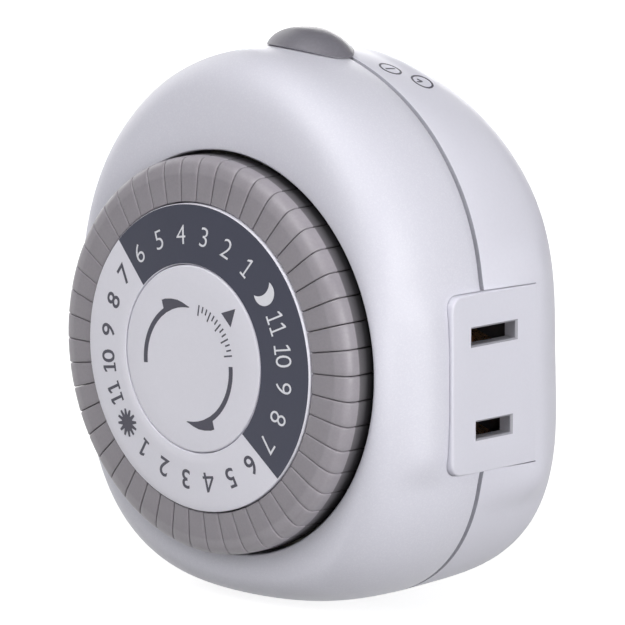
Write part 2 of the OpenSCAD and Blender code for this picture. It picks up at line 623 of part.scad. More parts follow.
// A spring clip behind a slot: a back plate and two leaves that close in and flare at the mouth
module socket_contact(k) color("#c98a4b") translate([clip_x, -outlet_h, slot_z[k]]) {
    translate([0, -4, -2.3]) cube([strip_t, 8, 4.6]);
    for (s = [-1, 1]) rotate([90, 0, 0]) translate([0, 0, -3.6]) linear_extrude(height = 7.2)
        polygon([[0, s * 2.3], [strip_t, s * 2.3], [clip_in, s * 1.05], [clip_in + 2.6, s * 1.9],
            [clip_in + 2.9, s * 1.5], [clip_in, s * 0.6], [0, s * 1.8]]);
}
module socket_contact_neutral() socket_contact(0);
module socket_contact_live() socket_contact(1);

// Insulated leads from the motor to the two blades, swept along hand-placed points (x, z, h)
lead_r = 0.55;
neutral_lead = [[-7.9, 6.9, 6.5], [-9, 4.6, 6.6], [-9.1, 2, 6.6], [-8.2, -0.8, 6.2], [-6.9, -2.8, 5],
    [-6.4, -4.2, 4], [-6.4, -4.98, 4]];
live_lead = [[-3.2, 5.3, 6.5], [-2.9, 2.6, 6.8], [-1, 0.4, 7.6], [2, -1.6, 8.4], [4.9, -3, 8.8],
    [6.3, -4.4, 8.9], [6.4, -5.75, 8.9]];
module lead(path) {
    n = len(path);
    skin([for (i = [0 : n - 1]) let (p = path[i], d = path[min(i + 1, n - 1)] - path[max(i - 1, 0)],
        u = d / norm(d), side = cross(u, [0, 0, 1]) / norm(cross(u, [0, 0, 1])), up = cross(side, u))
        [for (k = [0 : 7]) let (q = p + lead_r * (cos(45 * k) * side - sin(45 * k) * up))
            [q[0], -q[2], q[1]]]]);
}
module motor_leads() color("#2f3338") {
    lead(neutral_lead);
    lead(live_lead);
}

module motor_screws() color("#aeb2b8") at_motor_ears() {
    disc(1.7, motor_ear_h + 0.8, motor_ear_h + 1.8);
    disc(0.8, floor_t + 0.3, motor_ear_h + 0.9);
}

module housing_screws() color("#aeb2b8") at_screws() difference() {
    union() {
        disc(2.1, screw_head_h, screw_head_h + screw_head_t);
        disc(screw_shank_r, screw_head_h + screw_head_t - cut, screw_top);
    }
    block([-1.5, 1.5], [-0.25, 0.25], [screw_head_h - cut, screw_head_h + 0.8]);
    block([-0.25, 0.25], [-1.5, 1.5], [screw_head_h - cut, screw_head_h + 0.8]);
}

module rating_label() color("#c9cbd0") block((label_w / 2 - 0.2) * [-1, 1],
    label_z * [1, 1] + (label_l / 2 - 0.2) * [-1, 1], [label_deep - label_t, label_deep]);

for (n = [0 : hours - 1]) tripper_pair(n);
front_housing();
rear_housing();
outlet_plate();
slide_button();
slide_carriage();
slide_detent();
dial_ring();
centre_cap();
dial_carrier();
mechanism_plate();
motor_can();
motor_coil();
motor_rotor();
gear_1();
gear_2();
gear_3();
gear_4();
gear_5();
clutch_gear();
clutch_washer();
dial_pinion();
gear_arbors();
switch_lever();
lever_pin();
lever_spring();
contact_leaf();
fixed_contact();
blade_neutral();
blade_live();
socket_contact_neutral();
socket_contact_live();
motor_leads();
motor_screws();
housing_screws();
rating_label();
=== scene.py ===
from math import atan2, cos, degrees, pi, radians, sin, sqrt
import bpy
import bmesh
from mathutils import Matrix, Vector


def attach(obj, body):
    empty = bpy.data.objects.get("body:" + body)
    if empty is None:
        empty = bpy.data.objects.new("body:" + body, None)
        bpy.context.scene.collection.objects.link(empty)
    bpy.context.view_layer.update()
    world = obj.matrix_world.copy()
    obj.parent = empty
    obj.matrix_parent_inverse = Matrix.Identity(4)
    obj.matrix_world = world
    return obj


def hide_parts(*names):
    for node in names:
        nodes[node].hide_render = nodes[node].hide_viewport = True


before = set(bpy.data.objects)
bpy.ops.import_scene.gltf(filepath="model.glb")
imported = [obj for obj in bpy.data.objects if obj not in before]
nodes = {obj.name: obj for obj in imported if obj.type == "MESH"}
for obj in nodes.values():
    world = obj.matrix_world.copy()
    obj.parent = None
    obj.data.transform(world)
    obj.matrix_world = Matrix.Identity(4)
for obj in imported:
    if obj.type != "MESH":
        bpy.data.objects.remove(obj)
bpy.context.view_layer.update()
mm = 0.001


# Sizes and places are in mm, and a height is measured from the wall to the front.
def pick(*objs):
    bpy.ops.object.select_all(action="DESELECT")
    for obj in objs:
        obj.select_set(True)
    bpy.context.view_layer.objects.active = objs[-1]


def named(name):
    obj = bpy.context.object
    obj.name = name
    obj.data.name = name
    return obj


def joined(name, parts):
    pick(*parts)
    if len(parts) > 1:
        bpy.ops.object.join()
    return named(name)


def settle(obj):
    # puts the object's place, turn and size into its mesh
    pick(obj)
    bpy.ops.object.transform_apply(location=True, rotation=True, scale=True)
    return obj


def startEdit():
    bpy.ops.object.mode_set(mode="EDIT")
    bpy.ops.mesh.select_all(action="SELECT")


def endEdit():
    bpy.ops.object.mode_set(mode="OBJECT")


def faceOutwards():
    bpy.ops.mesh.select_all(action="SELECT")
    bpy.ops.mesh.normals_make_consistent(inside=False)


def extrudeBy(*offset):
    bpy.ops.mesh.extrude_region_move(TRANSFORM_OT_translate={"value": [d * mm for d in offset]})


def spinBy(angle, steps):
    # clockwise about the dial's axis, seen from the front
    bpy.ops.mesh.spin(steps=steps, dupli=False, angle=-angle, center=(0, 0, 0), axis=(0, 1, 0))


def finishNormals(obj, angle):
    # merges what coincides and shades smooth across edges flatter than the angle
    pick(obj)
    startEdit()
    bpy.ops.mesh.remove_doubles(threshold=0.001 * mm)
    bpy.ops.mesh.normals_make_consistent(inside=False)
    endEdit()
    bpy.ops.object.shade_smooth_by_angle(angle=radians(angle))
    return obj


def modify(obj, kind, **settings):
    # gives the object a modifier with these settings and applies it
    step = obj.modifiers.new("step", kind)
    for key, value in settings.items():
        setattr(step, key, value)
    pick(obj)
    bpy.ops.object.modifier_apply(modifier=step.name)
    return obj


def combine(obj, other, operation):
    # adds the other piece or takes it away, and uses it up
    modify(obj, "BOOLEAN", operation=operation, solver="EXACT", material_mode="TRANSFER", object=other)
    bpy.data.objects.remove(other)
    return obj


def cutWith(obj, *cutters):
    for cutter in cutters:
        combine(obj, cutter, "DIFFERENCE")
    return obj


def selectWhere(kind, test):
    # in edit mode: selects only the edges, faces or vertices that pass the test
    obj = bpy.context.object
    bpy.ops.mesh.select_all(action="DESELECT")
    bpy.ops.mesh.select_mode(type={"verts": "VERT", "edges": "EDGE", "faces": "FACE"}[kind])
    grid = bmesh.from_edit_mesh(obj.data)
    for part in getattr(grid, kind):
        if test(part):
            part.select = True
    grid.select_flush_mode()
    bmesh.update_edit_mesh(obj.data)


def bevelSelected(width, segments):
    bpy.ops.mesh.bevel(offset=width * mm, segments=segments, affect="EDGES")


def bevelEdges(obj, width, segments, angle):
    # rounds every edge sharper than the angle
    modify(obj, "BEVEL", width=width * mm, segments=segments, limit_method="ANGLE",
           angle_limit=radians(angle))


def rod(name, r, length, middle, turn, steps):
    # a round bar about its middle
    bpy.ops.mesh.primitive_cylinder_add(vertices=steps, radius=r * mm, depth=length * mm,
                                        location=[c * mm for c in middle], rotation=turn)
    return settle(named(name))


def bar(name, r, h, x, z, steps):
    # a round bar between two heights
    return rod(name, r, h[1] - h[0], (x, -(h[0] + h[1]) / 2, z), (pi / 2, 0, 0), steps)


def brick(name, x, h, z):
    # a box between two x, two heights and two z
    bpy.ops.mesh.primitive_cube_add(size=1)
    obj = named(name)
    obj.scale = [(high - low) * mm for low, high in (x, h, z)]
    obj.location = [(low + high) / 2 * mm for low, high in (x, (-h[1], -h[0]), z)]
    return settle(obj)


def around(middle, half):
    return middle - half, middle + half


def outlineShape(name, points):
    # one flat face through the points, in metres
    bpy.ops.mesh.primitive_circle_add(vertices=len(points), radius=mm, fill_type="NGON")
    obj = named(name)
    for v, point in zip(obj.data.vertices, points):
        v.co = point
    return obj


def flatShape(name, points, thick):
    # an outline drawn in XY, filled and given a thickness
    obj = outlineShape(name, [Vector((x, y, 0)) * mm for x, y in points])
    startEdit()
    extrudeBy(0, 0, thick)
    faceOutwards()
    endEdit()
    return obj


def polar(r, a, h):
    # the place at a radius and an angle about the dial's axis, and a height, in metres
    return Vector((r * cos(a), -h, r * sin(a))) * mm


def loft(name, rings, steps, loop=False):
    # extrudes a circle ring by ring; a ring gives the radius and the height for an angle
    bpy.ops.mesh.primitive_circle_add(vertices=steps, radius=20 * mm, fill_type="NOTHING",
                                      rotation=(pi / 2, 0, 0))
    obj = settle(named(name))
    startEdit()
    for k, ring in enumerate(rings):
        if k:
            bpy.ops.mesh.extrude_edges_move()
        grid = bmesh.from_edit_mesh(obj.data)
        for v in grid.verts:
            if v.select:
                a = atan2(v.co.z, v.co.x)
                r, h = ring(a)
                v.co = polar(r, a, h)
        bmesh.update_edit_mesh(obj.data)
    last = {v.index for v in bmesh.from_edit_mesh(obj.data).verts if v.select}
    if loop:
        selectWhere("verts", lambda v: v.index < steps or v.index in last)
        bpy.ops.mesh.bridge_edge_loops()
    else:
        bpy.ops.mesh.edge_face_add()
        selectWhere("verts", lambda v: v.index < steps)
        bpy.ops.mesh.edge_face_add()
    endEdit()
    return obj


def ramp(x, low, high):
    # 0 below the first value, 1 above the second, smooth between them
    x = min(1.0, max(0.0, (x - low) / (high - low)))
    return x * x * (3 - 2 * x)


def hill(x, start, full, fade, end):
    # rises from 0 to 1 at the first two values and falls back at the last two
    return ramp(x, start, full) * ramp(-x, -end, -fade)


def dress(obj, finish):
    obj.data.materials.clear()
    obj.data.materials.append(finishes[finish])
    return obj


def placed(obj, body, slotName, *replaced):
    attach(obj, body)
    if replaced:
        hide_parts(*replaced)


# Surface effects, as node groups that the finishes share.
surfaceInputs = [("Light", "Color"), ("Dark", "Color"), ("Rough Low", "Float"), ("Rough High", "Float"),
                 ("Bump", "Float")]
surfaceOutputs = [("Color", "Color"), ("Roughness", "Float"), ("Normal", "Vector")]


def newGroup(name, inputs, outputs):
    tree = bpy.data.node_groups.new(name, "ShaderNodeTree")
    for direction, sockets in (("INPUT", inputs), ("OUTPUT", outputs)):
        for label, kind in sockets:
            tree.interface.new_socket(name=label, in_out=direction, socket_type="NodeSocket" + kind)
    return tree, tree.nodes.new("NodeGroupInput").outputs, tree.nodes.new("NodeGroupOutput").inputs


def feed(tree, node, inputs):
    # each input takes a value, or the output that it is linked to
    for socket, source in inputs.items():
        if isinstance(source, bpy.types.NodeSocket):
            tree.links.new(source, node.inputs[socket])
        else:
            node.inputs[socket].default_value = source


def addNode(tree, kind, inputs, **settings):
    node = tree.nodes.new("ShaderNode" + kind)
    for key, value in settings.items():
        setattr(node, key, value)
    feed(tree, node, inputs)
    return node


def objectPlace(tree):
    return addNode(tree, "TexCoord", {}).outputs["Object"]


def noise(tree, place, scale, detail):
    return addNode(tree, "TexNoise", {"Vector": place, "Scale": scale, "Detail": detail}).outputs["Fac"]


def calculate(tree, operation, *values):
    return addNode(tree, "Math", dict(enumerate(values)), operation=operation).outputs[0]


def stretched(tree, value, low, high, toLow=0.0, toHigh=1.0):
    # maps one range to another and stays within it
    return addNode(tree, "MapRange", {"Value": value, "From Min": low, "From Max": high, "To Min": toLow,
                                      "To Max": toHigh}).outputs["Result"]


def spread(tree, value):
    # a noise keeps near its middle, which is stretched to the whole range
    return stretched(tree, value, 0.3, 0.7)


def mixed(tree, factor, a, b, blend="MIX"):
    return addNode(tree, "Mix", {"Factor": factor, "A": a, "B": b}, data_type="RGBA",
                   blend_type=blend).outputs["Result"]


def surfaceEnd(tree, given, result, shadeMask, roughMask, height, bumpHeight):
    # the colour, roughness and normal that come from a shade mask, a roughness mask and a height
    bump = addNode(tree, "Bump", {"Strength": given["Bump"], "Distance": bumpHeight * mm, "Height": height})
    ends = {"Color": mixed(tree, shadeMask, given["Dark"], given["Light"]), "Normal": bump.outputs["Normal"],
            "Roughness": stretched(tree, roughMask, 0.0, 1.0, given["Rough Low"], given["Rough High"])}
    for label, source in ends.items():
        tree.links.new(source, result[label])


def moldedGroup():
    # fine moulding grain with a slow drift of shade
    scales = [("Grain Scale", "Float"), ("Drift Scale", "Float")]
    tree, given, result = newGroup("moldedSurface", surfaceInputs + scales, surfaceOutputs)
    place = objectPlace(tree)
    grain = noise(tree, place, given["Grain Scale"], 4)
    drift = noise(tree, place, given["Drift Scale"], 2)
    both = calculate(tree, "MULTIPLY_ADD", grain, 0.6, calculate(tree, "MULTIPLY", drift, 0.4))
    surfaceEnd(tree, given, result, spread(tree, both), spread(tree, drift), grain, 0.02)
    return tree


def flakeGroup():
    # tiny pearl flakes: bright specks over a colour
    inputs = [("Color", "Color"), ("Flake", "Color"), ("Scale", "Float"), ("Amount", "Float")]
    tree, given, result = newGroup("pearlFlakes", inputs, surfaceOutputs[:1])
    cells = addNode(tree, "TexVoronoi", {"Vector": objectPlace(tree), "Scale": given["Scale"]}, feature="F1")
    split = addNode(tree, "SeparateColor", {"Color": cells.outputs["Color"]})
    few = stretched(tree, split.outputs[0], 0.55, 1.0)
    amount = calculate(tree, "MULTIPLY", few, given["Amount"])
    tree.links.new(mixed(tree, amount, given["Color"], given["Flake"]), result["Color"])
    return tree


def drawnGroup():
    # fine lines along one direction, for rolled and drawn metal
    tree, given, result = newGroup("drawnMetal", surfaceInputs + [("Stretch", "Vector")], surfaceOutputs)
    turn = addNode(tree, "VectorMath", {0: objectPlace(tree), 1: given["Stretch"]}, operation="MULTIPLY")
    lines = noise(tree, turn.outputs[0], 1, 3)
    mask = spread(tree, lines)
    surfaceEnd(tree, given, result, mask, mask, lines, 0.01)
    return tree


molded = moldedGroup()
flakes = flakeGroup()
drawn = drawnGroup()
pearl = {"Scale": 6000, "Flake": (0.95, 0.95, 0.98, 1)}
plasticIor = 1.46


def shade(color, factor=1):
    return tuple(c * factor for c in color) + (1,)


def newMaterial(name):
    mat = bpy.data.materials.new(name)
    mat.use_nodes = True
    return mat, mat.node_tree.nodes["Principled BSDF"]


def tintOf(shader):
    # the colour that the shader is given so far
    return shader.inputs["Base Color"].links[0].from_socket


def surface(name, group, color, depth, rough, bump, extra):
    # a material that takes its colour, roughness and normal from a group; depth is how dark it gets
    mat, shader = newMaterial(name)
    mat.diffuse_color = shade(color)
    inputs = {"Light": shade(color), "Dark": shade(color, depth), "Rough Low": rough[0],
              "Rough High": rough[1], "Bump": bump}
    effect = addNode(mat.node_tree, "Group", {**inputs, **extra}, node_tree=group).outputs
    feed(mat.node_tree, shader, {"Base Color": effect["Color"], "Roughness": effect["Roughness"],
                                 "Normal": effect["Normal"]})
    return mat, shader


def plastic(name, color, depth, grain=2600, drift=80, rough=(0.36, 0.46), bump=0.1, flake=0.0):
    mat, shader = surface(name, molded, color, depth, rough, bump,
                          {"Grain Scale": grain, "Drift Scale": drift})
    shader.inputs["IOR"].default_value = plasticIor
    if flake:
        inputs = {**pearl, "Amount": flake, "Color": tintOf(shader)}
        specks = addNode(mat.node_tree, "Group", inputs, node_tree=flakes)
        feed(mat.node_tree, shader, {"Base Color": specks.outputs["Color"]})
    return mat


def metal(name, color, stretch, depth=0.8, rough=(0.22, 0.38), bump=0.15):
    mat, shader = surface(name, drawn, color, depth, rough, bump, {"Stretch": stretch})
    shader.inputs["Metallic"].default_value = 1
    return mat


inkRough = (0.45, 0.55)
alongX = (300, 5000, 5000)
finishes = {
    "frontShell": plastic("pearlShell", (0.695, 0.69, 0.77), depth=0.96, grain=3500, drift=45,
                          rough=(0.34, 0.44), bump=0.15, flake=0.12),
    "rearShell": plastic("mattShell", (0.70, 0.695, 0.775), depth=0.965, drift=30, rough=(0.42, 0.52)),
    # painted shade: the parting groove's floor and foot, darker than the shells' own plastic
    "groove": plastic("groovePaintedShade", (0.40, 0.40, 0.45), depth=0.85, drift=200, rough=(0.5, 0.6)),
    "outletPlate": plastic("outletPlastic", (0.70, 0.695, 0.775), depth=0.97, drift=40, bump=0.08),
    # painted shade: the walls inside the outlet's slots, darker than the plate's own plastic
    "slotWall": plastic("slotWallPaintedShade", (0.38, 0.375, 0.42), depth=0.9, drift=200, rough=inkRough),
    "button": plastic("buttonPlastic", (0.20, 0.193, 0.222), depth=0.85, grain=2200, drift=120,
                      rough=(0.36, 0.48), bump=0.2),
    "segment": plastic("segmentPlastic", (0.37, 0.345, 0.38), depth=0.88, grain=3000, drift=180,
                       rough=(0.3, 0.42), bump=0.2),
    "ring": plastic("ringPlastic", (0.79, 0.78, 0.855), depth=0.97, bump=0.08),
    "cap": plastic("capPlastic", (0.775, 0.765, 0.84), depth=0.97, bump=0.08),
    "nightInk": plastic("nightInk", (0.050, 0.053, 0.082), depth=0.9, grain=4000, drift=200,
                        rough=(0.42, 0.52)),
    "whiteInk": plastic("whiteInk", (0.75, 0.75, 0.80), depth=0.95, grain=4000, drift=300, rough=inkRough),
    "darkInk": plastic("darkInk", (0.075, 0.072, 0.10), depth=0.88, grain=4000, drift=300, rough=inkRough),
    "acetal": plastic("acetal", (0.80, 0.77, 0.68), depth=0.95, grain=1500, drift=100, rough=(0.35, 0.5)),
    "sleeve": plastic("leadSleeve", (0.03, 0.03, 0.035), depth=0.8, grain=3000, drift=300, rough=(0.5, 0.6),
                      bump=0.2),
    "ferrite": plastic("ferrite", (0.05, 0.05, 0.055), depth=0.75, grain=4000, drift=400, rough=(0.6, 0.75),
                       bump=0.4),
    "blade": metal("bladeBrass", (0.80, 0.66, 0.38), (5000, 300, 5000), rough=(0.18, 0.32)),
    "contact": metal("contactBronze", (0.80, 0.52, 0.32), alongX),
    "steel": metal("springSteel", (0.62, 0.62, 0.64), alongX),
    "can": metal("platedCan", (0.66, 0.67, 0.69), (3000, 300, 3000), rough=(0.3, 0.45)),
    "coil": metal("enamelledWire", (0.55, 0.24, 0.11), (300, 9000, 300), depth=0.55, rough=(0.3, 0.5),
                  bump=0.5),
    "screw": metal("zincScrew", (0.58, 0.58, 0.57), (4000, 500, 4000), rough=(0.3, 0.5)),
    "foil": metal("foilLabel", (0.62, 0.63, 0.64), (300, 5000, 9000), depth=0.93, rough=(0.4, 0.55),
                  bump=0.05),
}
print("finishes ready")

# The case. An edge is a list of steps outwards or inwards and up or down from where it starts.
case = {
    "rimH": 33.5, "partH": 17.8, "pocketR": 27.45, "rimR": 27.75, "pocketH": (25.63, 29.5, 32.9),
    "rimEdge": ((0, -0.22), (0.05, -0.08), (0.16, -0.015), (0.3, 0)), "wall": 1.8, "floorT": 2.2,
    "rearInset": 12.0, "rearTaper": 0.03, "collarR": 29.2, "collarH": (31.3, 25.63), "overlap": 0.5,
    "frontSteps": 30, "rearSteps": 44, "steps": 240, "smooth": 40, "innerTurns": (80, 70, 60, 45, 30, 15, 5),
    "floorTurns": (90, 80, 65, 50, 35, 20, 8), "floorShares": (0.3, 0.7), "baseShares": (0.75, 0.5, 0.25),
    "frontEdge": ((0, 0.14), (0.04, 0.05), (0.14, 0.01), (1.0, 0.01), (1.8, 0.01)),
    "rearLand": ((1.8, -0.02), (1.2, -0.02), (1.0, -0.06)), "grooveDeep": 1.0, "grooveWide": 0.68,
    "grooveFoot": ((1.0, 0.05), (0.94, 0), (0.14, -0.01), (0.04, -0.06), (0.01, -0.15)), "footClear": 0.3,
    "paintedShadeLow": 0.08, "paintedShadeTop": 0.05, "paintedShadeDeep": 0.1, "slotX": (-5.4, 3.4), "slotHalf": 1.6,
    "slotZ": (34.9, 44),
}
# The shallow seat under the slide button.
seat = {"deep": 0.5, "fromZ": 20, "x": (-17, -11, 8.5, 24), "h": (8.5, 11.5, 22.5, 32)}
# The side that is raised nearly flush with the outlet plate. It narrows towards the front, and its steps
# are how far it lies under the plate's face there, and beside the plate's front corners.
flank = {"fromX": 20, "reach": 19, "h": (1.5, 7.0, 25, 32), "narrowH": (9.5, 16), "full": (12.3, 8.3),
         "end": (19, 14), "step": 0.45, "stepH": (9.5, 20), "cornerStep": 0.3, "cornerH": (17, 24),
         "cornerOff": (3, 11)}
# The case screws in their wells and posts.
screws = {"angles": (55, 125, -57, -123), "r": 30.2, "wellR": 2.3, "wellH": (-0.5, 2.4), "postR": 2.8,
          "postH": (2.25, 24), "boreR": 1.3, "boreH": (1, 25), "steps": 48, "boreSteps": 32}


def outline(a):
    return (36.2 + 1.4 * sin(a) - 2.6 * cos(2 * a) - 1.3 * sin(3 * a) - 1.2 * cos(4 * a) + 0.45 * sin(5 * a)
            - 0.18 * cos(6 * a))


def frontPower(a):
    return 2.78 + 0.45 * sin(a) - 0.88 * cos(2 * a)


def rearPower(a):
    return 5.7 - 1.4 * sin(a) + 2.2 * cos(2 * a)


def relieved(a, r, h, inset):
    # the radius with the button's seat and the raised flank; the inner skin keeps the plain outline
    x = (r + inset) * cos(a)
    z = r * sin(a)
    skin = max(0.0, 1 - inset / case["wall"])
    off = abs(z - outlet["z"])
    if x > flank["fromX"] and off < flank["reach"]:
        narrow = ramp(h, *flank["narrowH"])
        full, end = (wide + (slim - wide) * narrow for wide, slim in (flank["full"], flank["end"]))
        share = ramp(-off, -end, -full) * hill(h, *flank["h"])
        step = flank["step"] * ramp(h, *flank["stepH"])
        step += flank["cornerStep"] * ramp(h, *flank["cornerH"]) * ramp(off, *flank["cornerOff"])
        return r + skin * share * max(0.0, outlet["face"] - step - x) / cos(a)
    if z > seat["fromZ"]:
        return r - skin * seat["deep"] * hill(x, *seat["x"]) * hill(h, *seat["h"])
    return r


def arcShares(t, power):
    # how far out and how far up a point of a squarish quarter circle lies
    return sin(t) ** (2 / power), max(0.0, cos(t)) ** (2 / power)


def frontPoint(a, t, inset, rimR):
    out, up = arcShares(t, frontPower(a))
    h = case["partH"] + (case["rimH"] - inset - case["partH"]) * up
    return relieved(a, rimR + (outline(a) - inset - rimR) * out, h, inset), h


def rearPoint(a, t, inset=0.0, floorH=0.0):
    low, out = arcShares(t, rearPower(a))
    h = case["partH"] - (case["partH"] - floorH) * low
    r = outline(a) - inset - case["rearInset"] * (1 - out) - case["rearTaper"] * case["partH"] * low
    return relieved(a, r, h, inset), h


def fixed(r, h):
    return lambda a: (r, h)


def frontAt(t, inset=0.0, rimR=case["rimR"]):
    return lambda a: frontPoint(a, t, inset, rimR)


def rearAt(t, inset=0.0, floorH=0.0, share=1.0):
    def ring(a):
        r, h = rearPoint(a, t, inset, floorH)
        return r * share, h
    return ring


def edgeAt(inset, h):
    return lambda a: (relieved(a, outline(a) - inset, h, inset), h)


def runsAlongX(e):
    return abs((e.verts[0].co - e.verts[1].co).normalized().x) > 0.9


def bevelPlateCorners(radius, segments):
    # rounds the corners of the outlet plate, or of its window, that lie away from the wall
    startEdit()
    selectWhere("edges", lambda e: runsAlongX(e) and e.verts[0].co.y < -outlet["h"] * mm)
    bevelSelected(radius, segments)


def windowCutter():
    # the window in the case round the outlet plate: a fine gap, but none on the wall side
    s = outlet
    lowH, topH = around(s["h"], s["width"] / 2)
    cutter = brick("windowCutter", s["windowX"], (lowH, topH + s["frontGap"]),
                   around(s["z"], s["height"] / 2 + s["sideGap"]))
    bevelPlateCorners(s["corner"] + s["frontGap"], s["windowSteps"])
    endEdit()
    return cutter


def slideSlotCutter():
    s = case
    return brick("slideSlotCutter", s["slotX"], around(s["partH"], s["slotHalf"]), s["slotZ"])


def screwPlaces():
    return [(screws["r"] * cos(radians(a)), screws["r"] * sin(radians(a))) for a in screws["angles"]]


def makeFrontShell():
    s = case
    rings = [fixed(s["pocketR"], h) for h in s["pocketH"]]
    rings += [fixed(s["pocketR"] + out, s["rimH"] + up) for out, up in s["rimEdge"]]
    rings += [frontAt(pi / 2 * k / s["frontSteps"]) for k in range(1, s["frontSteps"])]
    rings += [edgeAt(inset, s["partH"] + up) for inset, up in s["frontEdge"]]
    rings += [frontAt(radians(t), s["wall"], s["collarR"]) for t in s["innerTurns"]]
    rings += [fixed(s["collarR"], h) for h in s["collarH"]]
    obj = finishNormals(loft("frontShell", rings, s["steps"], loop=True), s["smooth"])
    dress(obj, "frontShell")
    cutWith(obj, *[dress(c, "frontShell") for c in (windowCutter(), slideSlotCutter())])
    placed(finishNormals(obj, s["smooth"]), "case", "case_front", "front_housing")


def paintGrooveShade(obj, low):
    # the floor and the foot of the parting groove get a darker plastic: painted shade in the groove
    s = case
    obj.data.materials.append(finishes["groove"])
    for f in obj.data.polygons:
        c = f.center / mm
        a = atan2(c.z, c.x)
        sunk = relieved(a, outline(a), -c.y, 0) - sqrt(c.x ** 2 + c.z ** 2)
        level = low - s["paintedShadeLow"] < -c.y < s["partH"] - s["paintedShadeTop"]
        if level and sunk < s["grooveDeep"] + s["paintedShadeDeep"]:
            f.material_index = 1


def makeRearShell():
    s = case
    low = s["partH"] - s["grooveWide"]
    rings = [rearAt(pi / 2, s["wall"], s["floorT"], share) for share in s["floorShares"]]
    rings += [rearAt(radians(t), s["wall"], s["floorT"]) for t in s["floorTurns"]]
    rings += [edgeAt(inset, s["partH"] + up) for inset, up in s["rearLand"]]
    rings += [edgeAt(inset, low + up) for inset, up in s["grooveFoot"]]
    for k in range(1, s["rearSteps"] + 1):
        t = pi / 2 * k / s["rearSteps"]
        if max(rearPoint(a, t)[1] for a in (0, pi / 2)) < low - s["footClear"]:
            rings.append(rearAt(t))
    rings += [rearAt(pi / 2, share=share) for share in s["baseShares"]]
    obj = dress(finishNormals(loft("rearShell", rings, s["steps"]), s["smooth"]), "rearShell")
    paintGrooveShade(obj, low)
    cutters = [windowCutter(), slideSlotCutter()]
    cutters += [bar("screwWell", screws["wellR"], screws["wellH"], x, z, screws["steps"])
                for x, z in screwPlaces()]
    below = -s["overlap"]
    for name in ("neutral", "live"):
        blade = blades[name]
        cutters.append(brick("bladeSlot", around(blade["x"], blades["thick"] / 2 + blades["slotGap"]),
                             (below, blades["slotDeep"]),
                             around(blades["z"], blade["width"] / 2 + blades["slotGap"])))
    cutters.append(brick("labelRecess", around(0, label["half"]), (below, label["deep"]), label["z"]))
    cutWith(obj, *[dress(c, "rearShell") for c in cutters])
    placed(finishNormals(obj, s["smooth"]), "case", "case_rear", "rear_housing")


def makeScrewPosts():
    # the hollow posts that the case screws run through
    s = screws
    posts = [cutWith(bar("screwPost", s["postR"], s["postH"], x, z, s["steps"]),
                     bar("bore", s["boreR"], s["boreH"], x, z, s["boreSteps"])) for x, z in screwPlaces()]
    obj = finishNormals(joined("screwPosts", posts), angle=35)
    placed(dress(obj, "rearShell"), "case", "case_rear")


# The outlet plate in its window, with the box behind it and the two slots.
outlet = {
    "face": 33.0, "thick": 2.0, "width": 16.3, "height": 24.2, "h": 16.0, "z": -1.86, "corner": 1.8,
    "edge": 0.34, "wallSideEdge": 0.45, "boxX": 21, "boxHalf": (6.5, 10.6), "wellX": 20,
    "wellHalf": (4.6, 2.4), "windowX": (29.3, 40), "frontGap": 0.14, "sideGap": 0.1, "pitch": 12.7,
    "slots": (8.57, 6.72), "slotHigh": 2.27, "slotWall": 2.1, "mouth": (0.3, 0.24), "mouthDeep": 0.22,
    "slotInto": 0.5, "overlap": 0.2, "slack": 0.01, "plain": 0.1, "cornerSteps": 10, "windowSteps": 8,
    "edgeSteps": 5,
}


def outletBox(name, x, half, z):
    # a box about the plate's middle height
    return brick(name, x, around(outlet["h"], half[0]), around(z, half[1]))


def slotCutter(z, length):
    # a slot that flares to the surface
    s = outlet
    start = s["face"] - s["mouthDeep"]
    inner = s["face"] - s["slotWall"] - s["slotInto"]
    cutter = outletBox("slot", (inner, start), (length / 2, s["slotHigh"] / 2), z)
    startEdit()
    selectWhere("faces", lambda f: all(v.co.x > (start - s["slack"]) * mm for v in f.verts))
    extrudeBy(s["mouthDeep"], 0, 0)
    grid = bmesh.from_edit_mesh(cutter.data)
    for v in grid.verts:
        if v.select:
            v.co.y += s["mouth"][0] * mm * (1 if v.co.y > -s["h"] * mm else -1)
            v.co.z += s["mouth"][1] * mm * (1 if v.co.z > z * mm else -1)
    bmesh.update_edit_mesh(cutter.data)
    extrudeBy(1, 0, 0)
    faceOutwards()
    endEdit()
    # the slot's walls take a darker plastic as painted shade
    return dress(cutter, "slotWall")


def weighFaceEdges(plate, lowH, topH):
    # the face's edge is rounded away from the wall and sharp beside it
    s = outlet
    grid = bmesh.from_edit_mesh(plate.data)
    weight = grid.edges.layers.float.new("bevel_weight_edge")
    for e in grid.edges:
        if all(v.co.x > (s["face"] - s["slack"]) * mm for v in e.verts):
            middle = -(e.verts[0].co.y + e.verts[1].co.y) / 2 / mm
            if middle > topH - s["corner"]:
                e[weight] = 1.0
            elif middle > lowH + s["plain"]:
                e[weight] = s["wallSideEdge"]
    bmesh.update_edit_mesh(plate.data)


def makeOutletPlate():
    s = outlet
    back = s["face"] - s["thick"]
    lowH, topH = around(s["h"], s["width"] / 2)
    plate = brick("outletPlate", (back, s["face"]), (lowH, topH), around(s["z"], s["height"] / 2))
    bevelPlateCorners(s["corner"], s["cornerSteps"])
    weighFaceEdges(plate, lowH, topH)
    endEdit()
    modify(plate, "BEVEL", width=s["edge"] * mm, segments=s["edgeSteps"], limit_method="WEIGHT")
    combine(plate, outletBox("box", (s["boxX"], back + s["overlap"]), s["boxHalf"], s["z"]), "UNION")
    dress(plate, "outletPlate")
    middles = (s["z"] + s["pitch"] / 2, s["z"] - s["pitch"] / 2)
    wellX = (s["wellX"], s["face"] - s["slotWall"])
    # the wells behind the slots take the near-black sleeve finish as painted shade
    cutWith(plate, *[dress(outletBox("well", wellX, s["wellHalf"], z), "sleeve") for z in middles])
    cutWith(plate, *[slotCutter(z, length) for z, length in zip(middles, s["slots"])])
    placed(finishNormals(plate, angle=30), "case", "outlet", "outlet_plate")


